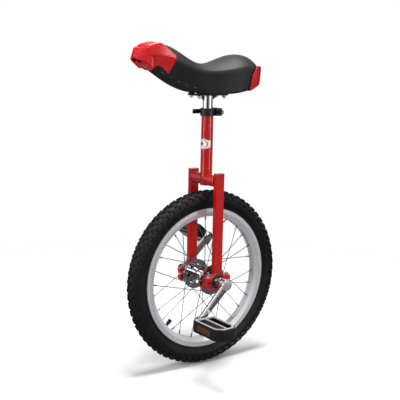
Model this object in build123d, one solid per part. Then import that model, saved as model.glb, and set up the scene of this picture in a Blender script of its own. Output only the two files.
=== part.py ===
from build123d import *
import os
from math import cos, radians, sin

# Unicycle with an 18 inch wheel, in millimetres.  X is forward, Y is the rider's left and Z is up.
# The origin is on the ground under the middle of the wheel, and the axle lies along Y.

# Tyre, tube and rim
WHEEL_RADIUS = 228.5
TYRE_SECTION = 24.5          # radius of the tyre's round section
TYRE_WALL = 3.0
TUBE_GAP = 0.5
TUBE_WALL = 1.2
BEAD_WIDTH = 3.8
BEAD_HEIGHT = 9.5
BEAD_SEAT_RADIUS = 177.5     # ISO 355 rim
RIM_WIDTH = 30.0
RIM_FLANGE = 5.0
RIM_WALL = 2.2
RIM_BED_RADIUS = 161.0
RIM_BED_WIDTH = 20.0
RIM_SHOULDER = 4.0
TAPE_THICKNESS = 0.8
SLEEVE_ARC = 9.0             # degrees of the joint sleeve inside the rim
VALVE_ANGLE = -44.1
VALVE_RADIUS = 4.0
VALVE_CAP_RADIUS = 5.0
VALVE_CAP_LENGTH = 11.0
VALVE_STICKOUT = 8.0

# Spokes
SPOKES = 28
SPOKE_START = 0.9            # angle of the first nipple, from straight ahead
SPOKE_CROSSES = 2
SPOKE_RADIUS = 1.0
SPOKE_HEAD_RADIUS = 1.8
SPOKE_HEAD_LENGTH = 0.9
NIPPLE_RADIUS = 2.0
NIPPLE_LENGTH = 11.0
NIPPLE_HEAD_RADIUS = 3.0
NIPPLE_HEAD_LENGTH = 3.0
NIPPLE_SEAT = 1.1
NIPPLE_OFFSET = 3.3          # left or right of the rim's middle
LACING_GAP = 1.1
ACCESS_HOLE_RADIUS = 4.5

# Hub, axle and bearings
AXLE_RADIUS = 8.5
BARREL_RADIUS = 14.0
FLANGE_Y = 35.0
FLANGE_THICKNESS = 3.0
FLANGE_RADIUS = 39.0
SPOKE_CIRCLE = 34.0
FLANGE_WINDOWS = 7
FLANGE_WINDOW_CIRCLE = 22.5
FLANGE_WINDOW_RADIUS = 5.0
BEARING_Y = 54.4
BEARING_WIDTH = 12.0
BEARING_RADIUS = 20.0
BALLS = 8
BALL_START = 11.0            # angle of the first ball
BALL_RADIUS = 3.375
BALL_CIRCLE = 14.25
BALL_CLEARANCE = 0.08
RACE_GAP = 4.5               # between the two races
CAGE_THICKNESS = 1.8
CAGE_WIDTH = 8.0
SEAL_THICKNESS = 0.8
SPACER_WALL = 2.6
SQUARE_LARGE = 13.2
SQUARE_SMALL = 12.5
STUD_RADIUS = 5.0

# Cranks and pedals
CRANK_LENGTH = 114.0
CRANK_ANGLE = -45.0          # the left crank points forward and down
CRANK_INNER_Y = 72.0
CRANK_OUTER_Y = 101.0
CRANK_BOSS_RADIUS = 14.25
CRANK_EYE_RADIUS = 12.5
CRANK_THICKNESS = 13.0
CRANK_WAIST = 10.0
CRANK_POCKET_RADIUS = 11.0
CRANK_POCKET_DEPTH = 11.0
CRANK_NUT_FLATS = 16.0
CRANK_NUT_LENGTH = 6.5
DUST_CAP_THICKNESS = 2.0
PEDAL_THREAD_RADIUS = 7.1    # nine sixteenths of an inch
PEDAL_INNER_Y = 110.0
PEDAL_OUTER_Y = 213.0
PEDAL_WIDTH = 64.0
PEDAL_THICKNESS = 30.0
PEDAL_PLATE = 3.5
PEDAL_CORNER = 16.0
PEDAL_WINDOWS = ((12.0, 48.0), (54.0, 87.0))     # start and end of each, from the pedal's inner end
PEDAL_WINDOW_SIDES = (5.0, 23.0)                 # from the pedal's middle line
PEDAL_CHEEK = 7.0
PEDAL_RAIL = 5.0
PEDAL_BARREL_RADIUS = 11.2
PEDAL_BORE_RADIUS = 8.0
PEDAL_REFLECTOR = (3.5, 54.0, 15.0)
PEDAL_TILT = {1: 0.0, -1: -40.0}
SPINDLE_RADIUS = 6.0
SPINDLE_END_RADIUS = 5.0
BUSH_LENGTH = 12.0
RUNNING_FIT = 0.05

# Frame
LEG_DEPTH = 25.0
LEG_WIDTH = 15.0
LEG_WALL = 1.6
LEG_CORNER = 3.0
LEG_TOP = 505.6
LEG_CAP = 2.0
LEG_PLUG = 6.0
CROWN_Z = 484.0
CROWN_RADIUS = 14.4
CROWN_WALL = 2.0
NECK_RADIUS = 15.0
NECK_BOTTOM = 470.0
NECK_TOP = 662.0
NECK_SLOT = 3.0
NECK_SLOT_LENGTH = 36.0
BADGE_RADIUS = 19.0
BADGE_Z = 575.0
BADGE_THICKNESS = 0.6
HOLDER_WIDTH = 14.0
HOLDER_RADIUS = 25.0
HOLDER_GAP = 3.0
EAR_REACH = 39.5
EAR_HEIGHT = 13.0
HOLDER_BOLT_X = 31.5
BOLT_RADIUS = 3.0
BOLT_CLEARANCE = 0.2
BOLT_HEAD_FLATS = 10.0
BOLT_HEAD_HEIGHT = 4.0
NUT_HEIGHT = 5.0

# Seat clamp
COLLAR_WALL = 3.5
COLLAR_BOTTOM = 645.0
COLLAR_TOP = 664.0
CLAMP_X = -25.0
CLAMP_EAR = 18.3             # from the middle plane to the outside of an ear
CLAMP_EAR_DEPTH = 14.0
SKEWER_RADIUS = 2.6
SKEWER_EYE_RADIUS = 5.0
SKEWER_EYE_HEIGHT = 4.8
CLAMP_NUT_RADIUS = 5.5
CLAMP_NUT_LENGTH = 9.0
CAM_RADIUS = 6.4
CAM_GAP = 0.35
LEVER_LENGTH = 48.0
LEVER_WIDTH = 6.5
LEVER_HEIGHT = 11.0

# Seat post and saddle
POST_RADIUS = 12.7
POST_WALL = 1.6
POST_BOTTOM = 500.0
PLUG_LENGTH = 12.0
PLATE_TOP = 699.0
PLATE_THICKNESS = 3.0
PLATE_LENGTH = 96.0
PLATE_WIDTH = 52.0
PLATE_CORNER = 8.0
WEB_DEPTH = 14.0
WEB_THICKNESS = 3.0
STUD_X = 38.0
STUD_Y = 17.0
STUD_HEAD = 2.5
PAD_RADIUS = 8.0
COVER_THICKNESS = 1.6
BASE_THICKNESS = 4.0
BUMPER_THICKNESS = 3.0
FLOOR_OF_SECTIONS = 680.0
SCREW_RADIUS = 2.0
SCREW_LENGTH = 9.0
SCREW_HEAD_RADIUS = 4.0
SCREW_HEAD = 2.0

# Saddle sections from tail to nose: x, crest height, half width, height where the side wall starts to curve,
# half width at the foot of the side wall, and the foot's height
SADDLE_SECTIONS = (
    (-138.0, 764.0, 30.0, 750.0, 27.0, 730.0), (-127.0, 783.0, 46.0, 764.0, 42.0, 722.0),
    (-104.0, 796.0, 59.5, 770.0, 54.0, 714.0), (-70.0, 797.5, 66.0, 768.0, 60.0, 707.0),
    (-30.0, 785.0, 62.0, 760.0, 55.0, 702.0), (15.0, 773.0, 51.0, 756.0, 41.0, 700.0),
    (50.0, 777.0, 43.0, 758.0, 30.0, 704.0), (95.0, 802.0, 38.0, 774.0, 22.0, 716.0),
    (145.0, 821.0, 36.0, 790.0, 16.0, 741.0), (182.0, 819.0, 32.0, 792.0, 13.0, 767.0),
    (199.0, 812.0, 26.0, 790.0, 12.0, 780.0),
)
# Underside of the saddle in side view, from tail to nose: x, z
SADDLE_UNDERSIDE = (
    (-150.0, 733.0), (-98.0, 714.0), (-46.0, 703.0), (0.0, 700.0), (37.0, 702.0),
    (72.0, 709.0), (119.0, 727.0), (160.0, 749.5), (215.0, 785.0),
)
REAR_BUMPER_SIDE = ((-84.0, 707.5), (-156.0, 731.5), (-156.0, 762.0), (-146.0, 777.0), (-118.0, 777.0),
                    (-104.0, 768.0), (-90.0, 745.0))
FRONT_BUMPER_SIDE = ((146.0, 850.0), (122.0, 797.0), (121.0, 785.0), (136.0, 749.0), (150.0, 761.0),
                     (166.0, 770.0), (177.0, 756.0), (196.0, 769.0), (226.0, 788.0), (208.0, 850.0))
BUMPER_CROWN = 812.0
NOSE_CENTRE = 183.0          # middle of the nose's oval plan
NOSE_REACH = 41.0
NOSE_HALF_WIDTH = 33.0
GRIP_WALL = 4.5
FRONT_SCREW = (187.0, 7.0)
REAR_SCREW = (-112.0, 34.0)

AXLE = Pos(0, 0, WHEEL_RADIUS)
LEG_INNER_Y = BEARING_Y - LEG_WIDTH / 2
POST_FIT_RADIUS = POST_RADIUS + RUNNING_FIT


def rectangle(x0, x1, y0, y1):
    """Flat rectangle given by its edges."""
    return Pos((x0 + x1) / 2, (y0 + y1) / 2) * Rectangle(x1 - x0, y1 - y0)


def outline(points):
    """Flat face with straight edges through the points."""
    return make_face(Polyline(*points, close=True))


def turned(section):
    """Solid turned about the Y axis from a flat section whose axes are Y and radius."""
    return revolve(Plane.YZ * section, Axis.Y)


def ring(inner, outer, y0, y1):
    """Ring about the Y axis; an inner radius of 0 gives a disc."""
    return turned(rectangle(y0, y1, inner, outer))


def plate_y(section, y0, y1):
    """Flat section with axes X and Z, given thickness from y0 to y1."""
    plane = Plane(origin=(0, y1, 0), x_dir=(1, 0, 0), z_dir=(0, -1, 0))
    return extrude(plane * section, amount=y1 - y0)


def upright(section, z0, z1):
    """Flat section with axes X and Y, raised from z0 to z1."""
    return extrude(Pos(0, 0, z0) * section, amount=z1 - z0)


def rod(start, end, radius):
    """Round bar from one point to another."""
    run = Vector(*end) - Vector(*start)
    return Solid.make_cylinder(radius, run.length, Plane(origin=start, z_dir=run))


def polar(angle, radius, y):
    """Point at an angle above straight ahead, measured round the axle."""
    return Vector(radius * cos(radians(angle)), y, radius * sin(radians(angle)))


def solids_of(shapes):
    """Every solid in a shape or a list of shapes."""
    if isinstance(shapes, (list, tuple)):
        return [solid for shape in shapes for solid in solids_of(shape)]
    return list(shapes.solids())


def left_and_right(shape):
    """A left piece with its mirror image."""
    return [shape, mirror(shape, about=Plane.XZ)]


# ---------------------------------------------------------------- tyre, tube and rim

def tyre():
    centre = WHEEL_RADIUS - TYRE_SECTION
    section = Pos(0, centre) * (Circle(TYRE_SECTION) - Circle(TYRE_SECTION - TYRE_WALL))
    bead_outer = RIM_WIDTH / 2 - RIM_WALL
    bead_inner = bead_outer - BEAD_WIDTH
    bead_top = BEAD_SEAT_RADIUS + BEAD_HEIGHT
    section += rectangle(bead_inner, bead_outer, BEAD_SEAT_RADIUS, bead_top)
    section += rectangle(-bead_outer, -bead_inner, BEAD_SEAT_RADIUS, bead_top)
    section -= rectangle(-bead_inner, bead_inner, BEAD_SEAT_RADIUS - 1, bead_top)
    return turned(section)


def tube_radius():
    """Outer radius of the tube's section: it clears the beads and lies against the tyre."""
    return (WHEEL_RADIUS - TYRE_WALL - TUBE_GAP - BEAD_SEAT_RADIUS - BEAD_HEIGHT) / 2


def inner_tube():
    radius = tube_radius()
    centre = WHEEL_RADIUS - TYRE_WALL - TUBE_GAP - radius
    return turned(Pos(0, centre) * (Circle(radius) - Circle(radius - TUBE_WALL)))


def rim_chamber(clearance):
    """Hollow inside the rim, made smaller by a clearance."""
    half = RIM_WIDTH / 2 - RIM_WALL - clearance
    bed_half = RIM_BED_WIDTH / 2 - RIM_WALL - clearance
    top = BEAD_SEAT_RADIUS - RIM_WALL - clearance
    bottom = RIM_BED_RADIUS + RIM_WALL + clearance
    shoulder = BEAD_SEAT_RADIUS - RIM_WALL - RIM_SHOULDER
    return outline([(-half, top), (-half, shoulder), (-bed_half, bottom), (bed_half, bottom),
                    (half, shoulder), (half, top)])


def rim():
    half = RIM_WIDTH / 2
    top = BEAD_SEAT_RADIUS + RIM_FLANGE
    shoulder = BEAD_SEAT_RADIUS - RIM_WALL - RIM_SHOULDER
    bed_half = RIM_BED_WIDTH / 2
    section = outline([(-half, top), (-half, shoulder), (-bed_half, RIM_BED_RADIUS),
                       (bed_half, RIM_BED_RADIUS), (half, shoulder), (half, top)])
    section -= rectangle(-half + RIM_WALL, half - RIM_WALL, BEAD_SEAT_RADIUS, top + 1)
    section -= rim_chamber(0)
    holes = [valve_bar(VALVE_RADIUS + BOLT_CLEARANCE, RIM_BED_RADIUS - 5, BEAD_SEAT_RADIUS + 2)]
    for index in range(SPOKES):
        hub_end, rim_end, along = spoke_line(index)
        holes.append(rod(rim_end - along * 3, rim_end + along * (RIM_WALL + 2),
                         NIPPLE_RADIUS + BOLT_CLEARANCE))
        angle = spoke_angle(index)
        holes.append(rod(polar(angle, BEAD_SEAT_RADIUS - RIM_WALL - 1, rim_end.Y),
                         polar(angle, BEAD_SEAT_RADIUS + 1, rim_end.Y), ACCESS_HOLE_RADIUS))
    return turned(section) - holes


def rim_joint_sleeve():
    """Short bar that joins the rim's ends, opposite the valve."""
    swept = revolve(Plane.YZ * rim_chamber(BOLT_CLEARANCE), Axis.Y, SLEEVE_ARC)
    return Rot(0, -90 - VALVE_ANGLE - SLEEVE_ARC / 2, 0) * swept


def rim_tape():
    half = RIM_WIDTH / 2 - RIM_WALL - BEAD_WIDTH - BOLT_CLEARANCE
    band = ring(BEAD_SEAT_RADIUS, BEAD_SEAT_RADIUS + TAPE_THICKNESS, -half, half)
    return band - valve_bar(VALVE_RADIUS + BOLT_CLEARANCE, RIM_BED_RADIUS, BEAD_SEAT_RADIUS + 5)


def valve_bar(radius, inner, outer):
    """Bar along the valve's line, between two distances from the axle."""
    return rod(polar(VALVE_ANGLE, inner, 0), polar(VALVE_ANGLE, outer, 0), radius)


def valve_stem():
    tube_bottom = WHEEL_RADIUS - TYRE_WALL - TUBE_GAP - 2 * tube_radius()
    cap_end = RIM_BED_RADIUS - VALVE_STICKOUT
    stem = valve_bar(VALVE_RADIUS, cap_end, tube_bottom)
    core = valve_bar(VALVE_RADIUS * 0.6, cap_end - VALVE_CAP_LENGTH / 2, cap_end)
    return stem + core


def valve_cap():
    cap_end = RIM_BED_RADIUS - VALVE_STICKOUT
    cap = valve_bar(VALVE_CAP_RADIUS, cap_end - VALVE_CAP_LENGTH, cap_end)
    return cap - valve_bar(VALVE_RADIUS * 0.6, cap_end - VALVE_CAP_LENGTH / 2, cap_end)


# ---------------------------------------------------------------- spokes and hub

def spoke_angle(index):
    return SPOKE_START + index * 360 / SPOKES


def spoke_outside(index):
    """Every other spoke of a flange runs outside it and leads; the rest run inside and trail."""
    return 1 if (index // 2) % 2 == 0 else -1


def spoke_line(index):
    """Hub end, rim end and direction of a spoke; even spokes are laced to the left flange."""
    side = 1 if index % 2 == 0 else -1
    outside = spoke_outside(index)
    rim_angle = spoke_angle(index)
    hub_angle = rim_angle - outside * SPOKE_CROSSES * 720 / SPOKES
    hub_y = side * (FLANGE_Y + outside * (FLANGE_THICKNESS / 2 + SPOKE_RADIUS + RUNNING_FIT))
    rim_y = side * (NIPPLE_OFFSET + outside * LACING_GAP)
    hub_end = polar(hub_angle, SPOKE_CIRCLE, hub_y)
    rim_end = polar(rim_angle, RIM_BED_RADIUS, rim_y)
    return hub_end, rim_end, (rim_end - hub_end).normalized()


def spokes():
    made = []
    for index in range(SPOKES):
        side = 1 if index % 2 == 0 else -1
        hub_end, rim_end, along = spoke_line(index)
        inward = Vector(0, -side * spoke_outside(index), 0)
        head = hub_end + inward * (FLANGE_THICKNESS + 2 * RUNNING_FIT + SPOKE_RADIUS)
        wire = rod(hub_end, rim_end + along * RIM_WALL, SPOKE_RADIUS)
        elbow = rod(hub_end - inward * SPOKE_RADIUS, head, SPOKE_RADIUS)
        button = rod(head, head + inward * SPOKE_HEAD_LENGTH, SPOKE_HEAD_RADIUS)
        made.append(wire + elbow + button)
    return made


def spoke_nipples():
    made = []
    for index in range(SPOKES):
        hub_end, rim_end, along = spoke_line(index)
        seat = rim_end + along * (RIM_WALL + NIPPLE_SEAT)
        foot = rim_end - along * NIPPLE_LENGTH
        top = seat + along * NIPPLE_HEAD_LENGTH
        nipple = rod(foot, seat, NIPPLE_RADIUS) + rod(seat, top, NIPPLE_HEAD_RADIUS)
        made.append(nipple - rod(foot - along, top + along, SPOKE_RADIUS + 0.02))
    return made


def hub_barrel():
    end = FLANGE_Y - FLANGE_THICKNESS / 2
    section = rectangle(-end, end, AXLE_RADIUS, BARREL_RADIUS)
    section += rectangle(end - 6, end, AXLE_RADIUS, BARREL_RADIUS + 2)
    section += rectangle(-end, 6 - end, AXLE_RADIUS, BARREL_RADIUS + 2)
    return turned(section)


def hub_flange(side):
    """Flange with its spoke holes and lightening windows; the holes follow that side's spokes."""
    y0 = side * FLANGE_Y - FLANGE_THICKNESS / 2
    y1 = side * FLANGE_Y + FLANGE_THICKNESS / 2
    holes = []
    for index in range(SPOKES):
        hub_end, rim_end, along = spoke_line(index)
        if hub_end.Y * side > 0:
            holes.append(rod((hub_end.X, y0 - 1, hub_end.Z), (hub_end.X, y1 + 1, hub_end.Z),
                             SPOKE_RADIUS + BOLT_CLEARANCE))
            holes.append(rod(hub_end, rim_end, SPOKE_RADIUS + RUNNING_FIT))
    for window in range(FLANGE_WINDOWS):
        middle = polar(window * 360 / FLANGE_WINDOWS, FLANGE_WINDOW_CIRCLE, 0)
        holes.append(rod((middle.X, y0 - 1, middle.Z), (middle.X, y1 + 1, middle.Z),
                         FLANGE_WINDOW_RADIUS))
    return ring(AXLE_RADIUS, FLANGE_RADIUS, y0, y1) - holes


def square_taper(extra=0.0):
    """Left end of the axle that the crank is pressed on."""
    start = CRANK_INNER_Y - extra
    end = CRANK_OUTER_Y - CRANK_POCKET_DEPTH
    frames = [Plane(origin=(0, y, 0), x_dir=(1, 0, 0), z_dir=(0, 1, 0)) for y in (start, end)]
    large = frames[0] * Rectangle(SQUARE_LARGE, SQUARE_LARGE)
    small = frames[1] * Rectangle(SQUARE_SMALL, SQUARE_SMALL)
    return loft([large, small])


def axle():
    shoulder = CRANK_INNER_Y - 6
    shaft = ring(0, AXLE_RADIUS, -shoulder, shoulder)
    nut_end = CRANK_OUTER_Y - CRANK_POCKET_DEPTH + CRANK_NUT_LENGTH + 1
    stud = ring(0, STUD_RADIUS, CRANK_OUTER_Y - CRANK_POCKET_DEPTH - 2, nut_end)
    end = Rot(0, -CRANK_ANGLE, 0) * (square_taper(8) + stud)
    for piece in left_and_right(end):
        shaft += piece
    return shaft


def bearing_spacer():
    return ring(AXLE_RADIUS, AXLE_RADIUS + SPACER_WALL, FLANGE_Y + FLANGE_THICKNESS / 2,
                BEARING_Y - BEARING_WIDTH / 2)


def race_groove():
    """Round groove that the balls run in."""
    return turned(Pos(BEARING_Y, BALL_CIRCLE) * Circle(BALL_RADIUS + BALL_CLEARANCE))


def bearing_inner_race():
    half = BEARING_WIDTH / 2
    race = ring(AXLE_RADIUS, BALL_CIRCLE - RACE_GAP / 2, BEARING_Y - half, BEARING_Y + half)
    return race - race_groove()


def bearing_outer_race():
    half = BEARING_WIDTH / 2
    race = ring(BALL_CIRCLE + RACE_GAP / 2, BEARING_RADIUS, BEARING_Y - half, BEARING_Y + half)
    return race - race_groove()


def bearing_seals():
    """Two thin discs held by the outer race, just clear of the inner race."""
    inner = BALL_CIRCLE - RACE_GAP / 2 + 0.3
    outer = BALL_CIRCLE + RACE_GAP / 2
    edge = BEARING_WIDTH / 2 - 0.3
    return [ring(inner, outer, BEARING_Y + edge - SEAL_THICKNESS, BEARING_Y + edge),
            ring(inner, outer, BEARING_Y - edge, BEARING_Y - edge + SEAL_THICKNESS)]


def ball_angle(ball):
    return BALL_START + ball * 360 / BALLS


def bearing_balls():
    centres = [polar(ball_angle(ball), BALL_CIRCLE, BEARING_Y) for ball in range(BALLS)]
    return [Pos(*centre) * Sphere(BALL_RADIUS) for centre in centres]


def ball_cage():
    half = CAGE_THICKNESS / 2
    cage = ring(BALL_CIRCLE - half, BALL_CIRCLE + half, BEARING_Y - CAGE_WIDTH / 2,
                BEARING_Y + CAGE_WIDTH / 2)
    return cage - [rod(polar(ball_angle(ball), BALL_CIRCLE - 3, BEARING_Y),
                       polar(ball_angle(ball), BALL_CIRCLE + 3, BEARING_Y),
                       BALL_RADIUS + BALL_CLEARANCE) for ball in range(BALLS)]


# ---------------------------------------------------------------- cranks and pedals

def crank():
    """Left crank, lying forward along X from the axle."""
    arm_inner = CRANK_OUTER_Y - CRANK_THICKNESS
    arm = outline([(0, CRANK_BOSS_RADIUS * 0.85), (CRANK_LENGTH, CRANK_WAIST),
                   (CRANK_LENGTH, -CRANK_WAIST), (0, -CRANK_BOSS_RADIUS * 0.85)])
    body = plate_y(arm, arm_inner, CRANK_OUTER_Y - 1)
    body += ring(0, CRANK_BOSS_RADIUS, CRANK_INNER_Y, CRANK_OUTER_Y)
    body += Pos(CRANK_LENGTH, 0, 0) * ring(0, CRANK_EYE_RADIUS, arm_inner, CRANK_OUTER_Y)
    pocket_floor = CRANK_OUTER_Y - CRANK_POCKET_DEPTH
    body -= square_taper(2)
    body -= ring(0, CRANK_POCKET_RADIUS, pocket_floor, CRANK_OUTER_Y + 1)
    body -= Pos(CRANK_LENGTH, 0, 0) * ring(0, PEDAL_THREAD_RADIUS, arm_inner - 1, CRANK_OUTER_Y + 1)
    return body


def crank_nut():
    floor = CRANK_OUTER_Y - CRANK_POCKET_DEPTH
    hexagon = RegularPolygon(CRANK_NUT_FLATS / 2, 6, major_radius=False) - Circle(STUD_RADIUS)
    return plate_y(hexagon, floor, floor + CRANK_NUT_LENGTH)


def crank_dust_cap():
    return ring(0, CRANK_POCKET_RADIUS, CRANK_OUTER_Y - DUST_CAP_THICKNESS, CRANK_OUTER_Y)


def pedal_spindle():
    """Left spindle about its own axis: thread in the crank, wrench collar, then the bearing shaft."""
    inner = CRANK_OUTER_Y - CRANK_THICKNESS
    outer = PEDAL_OUTER_Y - 8
    spindle = ring(0, PEDAL_THREAD_RADIUS, inner, CRANK_OUTER_Y)
    collar = RegularPolygon(CRANK_BOSS_RADIUS / 2, 6, major_radius=False)
    spindle += plate_y(collar, CRANK_OUTER_Y, PEDAL_INNER_Y - 2)
    spindle += ring(0, SPINDLE_RADIUS, PEDAL_INNER_Y - 2, PEDAL_INNER_Y + BUSH_LENGTH + 20)
    spindle += ring(0, SPINDLE_END_RADIUS, PEDAL_INNER_Y + BUSH_LENGTH + 20, outer)
    spindle += ring(0, PEDAL_BORE_RADIUS - 1, outer - 4, outer)
    return spindle


def pedal_bushes():
    inner = ring(SPINDLE_RADIUS + RUNNING_FIT, PEDAL_BORE_RADIUS, PEDAL_INNER_Y,
                 PEDAL_INNER_Y + BUSH_LENGTH)
    end = PEDAL_OUTER_Y - 13
    outer = ring(SPINDLE_END_RADIUS + RUNNING_FIT, PEDAL_BORE_RADIUS, end - BUSH_LENGTH, end)
    return [inner, outer]


def pedal_outline(inset=0.0):
    """Plan of the pedal with its outer corners cut off; axes X and Y."""
    half = PEDAL_WIDTH / 2 - inset
    inner = PEDAL_INNER_Y + inset
    outer = PEDAL_OUTER_Y - inset
    corner = PEDAL_CORNER
    return outline([(-half, inner), (half, inner), (half, outer - corner), (half - corner, outer),
                    (corner - half, outer), (-half, outer - corner)])


def pedal_plates():
    """Light frames on the top and the bottom of the pedal."""
    face = pedal_outline()
    near, far = PEDAL_WINDOW_SIDES
    for start, end in PEDAL_WINDOWS:
        window = rectangle(near, far, PEDAL_INNER_Y + start, PEDAL_INNER_Y + end)
        face -= window + mirror(window, about=Plane.YZ)
    top = PEDAL_THICKNESS / 2
    return [upright(face, top - PEDAL_PLATE, top), upright(face, -top, PEDAL_PLATE - top)]


def pedal_body():
    half_height = PEDAL_THICKNESS / 2 - PEDAL_PLATE
    half = PEDAL_WIDTH / 2 - 4
    cheek_end = PEDAL_OUTER_Y - PEDAL_CORNER
    body = ring(0, PEDAL_BARREL_RADIUS, PEDAL_INNER_Y, PEDAL_OUTER_Y - 1)
    plan = rectangle(-half, half, PEDAL_INNER_Y, PEDAL_INNER_Y + PEDAL_CHEEK)
    plan += rectangle(-half + 12, half - 12, PEDAL_OUTER_Y - PEDAL_CHEEK - 1, PEDAL_OUTER_Y - 1)
    rail = rectangle(half - PEDAL_RAIL, half, PEDAL_INNER_Y, cheek_end)
    rail += outline([(half - PEDAL_RAIL, cheek_end - 2), (half, cheek_end), (half - 12, PEDAL_OUTER_Y - 1),
                     (half - 12 - PEDAL_RAIL, PEDAL_OUTER_Y - 1)])
    plan += rail + mirror(rail, about=Plane.YZ)
    body += upright(plan, -half_height, half_height)
    return body - ring(0, PEDAL_BORE_RADIUS, PEDAL_INNER_Y - 1, PEDAL_OUTER_Y)


def pedal_reflectors():
    """Amber lenses on the front and the rear rail."""
    depth, length, height = PEDAL_REFLECTOR
    x = PEDAL_WIDTH / 2 - 4 + depth / 2
    middle = (PEDAL_INNER_Y + PEDAL_OUTER_Y - PEDAL_CORNER) / 2
    return [Pos(side * x, middle, 0) * Box(depth, length, height) for side in (-1, 1)]


def pedal_end_cap():
    return ring(0, PEDAL_BORE_RADIUS, PEDAL_OUTER_Y - 5, PEDAL_OUTER_Y)


def at_crank(shape, side):
    """A left piece drawn along +X, turned to its crank; the right crank points the other way."""
    if side > 0:
        return AXLE * Rot(0, -CRANK_ANGLE, 0) * shape
    return AXLE * Rot(0, 180 - CRANK_ANGLE, 0) * mirror(shape, about=Plane.XZ)


def at_pedal(shapes, side):
    """Left pedal pieces drawn about their own axis, moved to the end of their crank and tilted."""
    angle = CRANK_ANGLE if side > 0 else CRANK_ANGLE + 180
    centre = polar(angle, CRANK_LENGTH, 0)
    place = AXLE * Pos(*centre) * Rot(0, PEDAL_TILT[side], 0)
    pieces = solids_of(shapes)
    if side < 0:
        pieces = [mirror(piece, about=Plane.XZ) for piece in pieces]
    return [place * piece for piece in pieces]


# ---------------------------------------------------------------- fork and neck

def fork_leg():
    """Rectangular tube, coped at the bottom to sit on the round bearing housing."""
    outer = RectangleRounded(LEG_DEPTH, LEG_WIDTH, LEG_CORNER)
    inner = RectangleRounded(LEG_DEPTH - 2 * LEG_WALL, LEG_WIDTH - 2 * LEG_WALL, LEG_CORNER - LEG_WALL)
    tube = Pos(0, BEARING_Y, 0) * upright(outer - inner, WHEEL_RADIUS, LEG_TOP - LEG_CAP)
    return tube - AXLE * ring(0, HOLDER_RADIUS, BEARING_Y - LEG_WIDTH, BEARING_Y + LEG_WIDTH)


def leg_top_cap():
    lid = RectangleRounded(LEG_DEPTH, LEG_WIDTH, LEG_CORNER)
    plug = RectangleRounded(LEG_DEPTH - 2 * LEG_WALL, LEG_WIDTH - 2 * LEG_WALL, LEG_CORNER - LEG_WALL)
    cap = upright(lid, LEG_TOP - LEG_CAP, LEG_TOP) + upright(plug, LEG_TOP - LEG_CAP - LEG_PLUG, LEG_TOP)
    return Pos(0, BEARING_Y, 0) * cap


def crown_tube():
    """Tube from the neck to the left leg, coped round the neck."""
    tube = ring(CROWN_RADIUS - CROWN_WALL, CROWN_RADIUS, 0, LEG_INNER_Y)
    return Pos(0, 0, CROWN_Z) * tube - upright(Circle(NECK_RADIUS), NECK_BOTTOM - 5, NECK_TOP)


def neck_tube():
    tube = upright(Circle(NECK_RADIUS) - Circle(POST_FIT_RADIUS), NECK_BOTTOM, NECK_TOP)
    slot = rectangle(-NECK_RADIUS - 1, 0, -NECK_SLOT / 2, NECK_SLOT / 2)
    return tube - upright(slot, NECK_TOP - NECK_SLOT_LENGTH, NECK_TOP + 1)


def neck_badge():
    """Plain round sticker wrapped on the front of the neck."""
    skin = upright(Circle(NECK_RADIUS + BADGE_THICKNESS) - Circle(NECK_RADIUS),
                   BADGE_Z - BADGE_RADIUS, BADGE_Z + BADGE_RADIUS)
    face = Plane(origin=(0, 0, BADGE_Z), z_dir=(1, 0, 0)) * Ellipse(NECK_RADIUS - 1, BADGE_RADIUS)
    return skin & extrude(face, amount=NECK_RADIUS * 2)


def holder_half(upper):
    """Half of a bearing holder with its two ears, about the axle's line."""
    sign = 1 if upper else -1
    near = sign * HOLDER_GAP / 2
    far = sign * (HOLDER_GAP / 2 + EAR_HEIGHT)
    face = Circle(HOLDER_RADIUS)
    face += rectangle(-EAR_REACH, EAR_REACH, min(near, far), max(near, far))
    face -= Circle(BEARING_RADIUS)
    keep = sign * (HOLDER_RADIUS + 1)
    face &= rectangle(-EAR_REACH - 1, EAR_REACH + 1, min(near, keep), max(near, keep))
    y0 = BEARING_Y - HOLDER_WIDTH / 2
    half = plate_y(face, y0, y0 + HOLDER_WIDTH)
    reach = HOLDER_GAP / 2 + EAR_HEIGHT + 1
    for x in (-HOLDER_BOLT_X, HOLDER_BOLT_X):
        half -= rod((x, BEARING_Y, -reach), (x, BEARING_Y, reach), BOLT_RADIUS + BOLT_CLEARANCE)
    return half


def hexagon(flats, z0, z1):
    return upright(RegularPolygon(flats / 2, 6, major_radius=False), z0, z1)


def housing_bolts():
    """Two bolts of the left holder, with their heads underneath."""
    bottom = -HOLDER_GAP / 2 - EAR_HEIGHT
    top = -bottom + NUT_HEIGHT + 1.5
    bolt = hexagon(BOLT_HEAD_FLATS, bottom - BOLT_HEAD_HEIGHT, bottom)
    bolt += upright(Circle(BOLT_RADIUS), bottom, top)
    return [Pos(x, BEARING_Y, 0) * bolt for x in (-HOLDER_BOLT_X, HOLDER_BOLT_X)]


def housing_nuts():
    seat = HOLDER_GAP / 2 + EAR_HEIGHT
    nut = hexagon(BOLT_HEAD_FLATS, seat, seat + NUT_HEIGHT)
    nut -= upright(Circle(BOLT_RADIUS), seat - 1, seat + NUT_HEIGHT + 1)
    return [Pos(x, BEARING_Y, 0) * nut for x in (-HOLDER_BOLT_X, HOLDER_BOLT_X)]


# ---------------------------------------------------------------- seat clamp

CLAMP_Z = (COLLAR_BOTTOM + COLLAR_TOP) / 2
PIVOT_Y = -CLAMP_EAR - CAM_RADIUS - CAM_GAP


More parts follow.
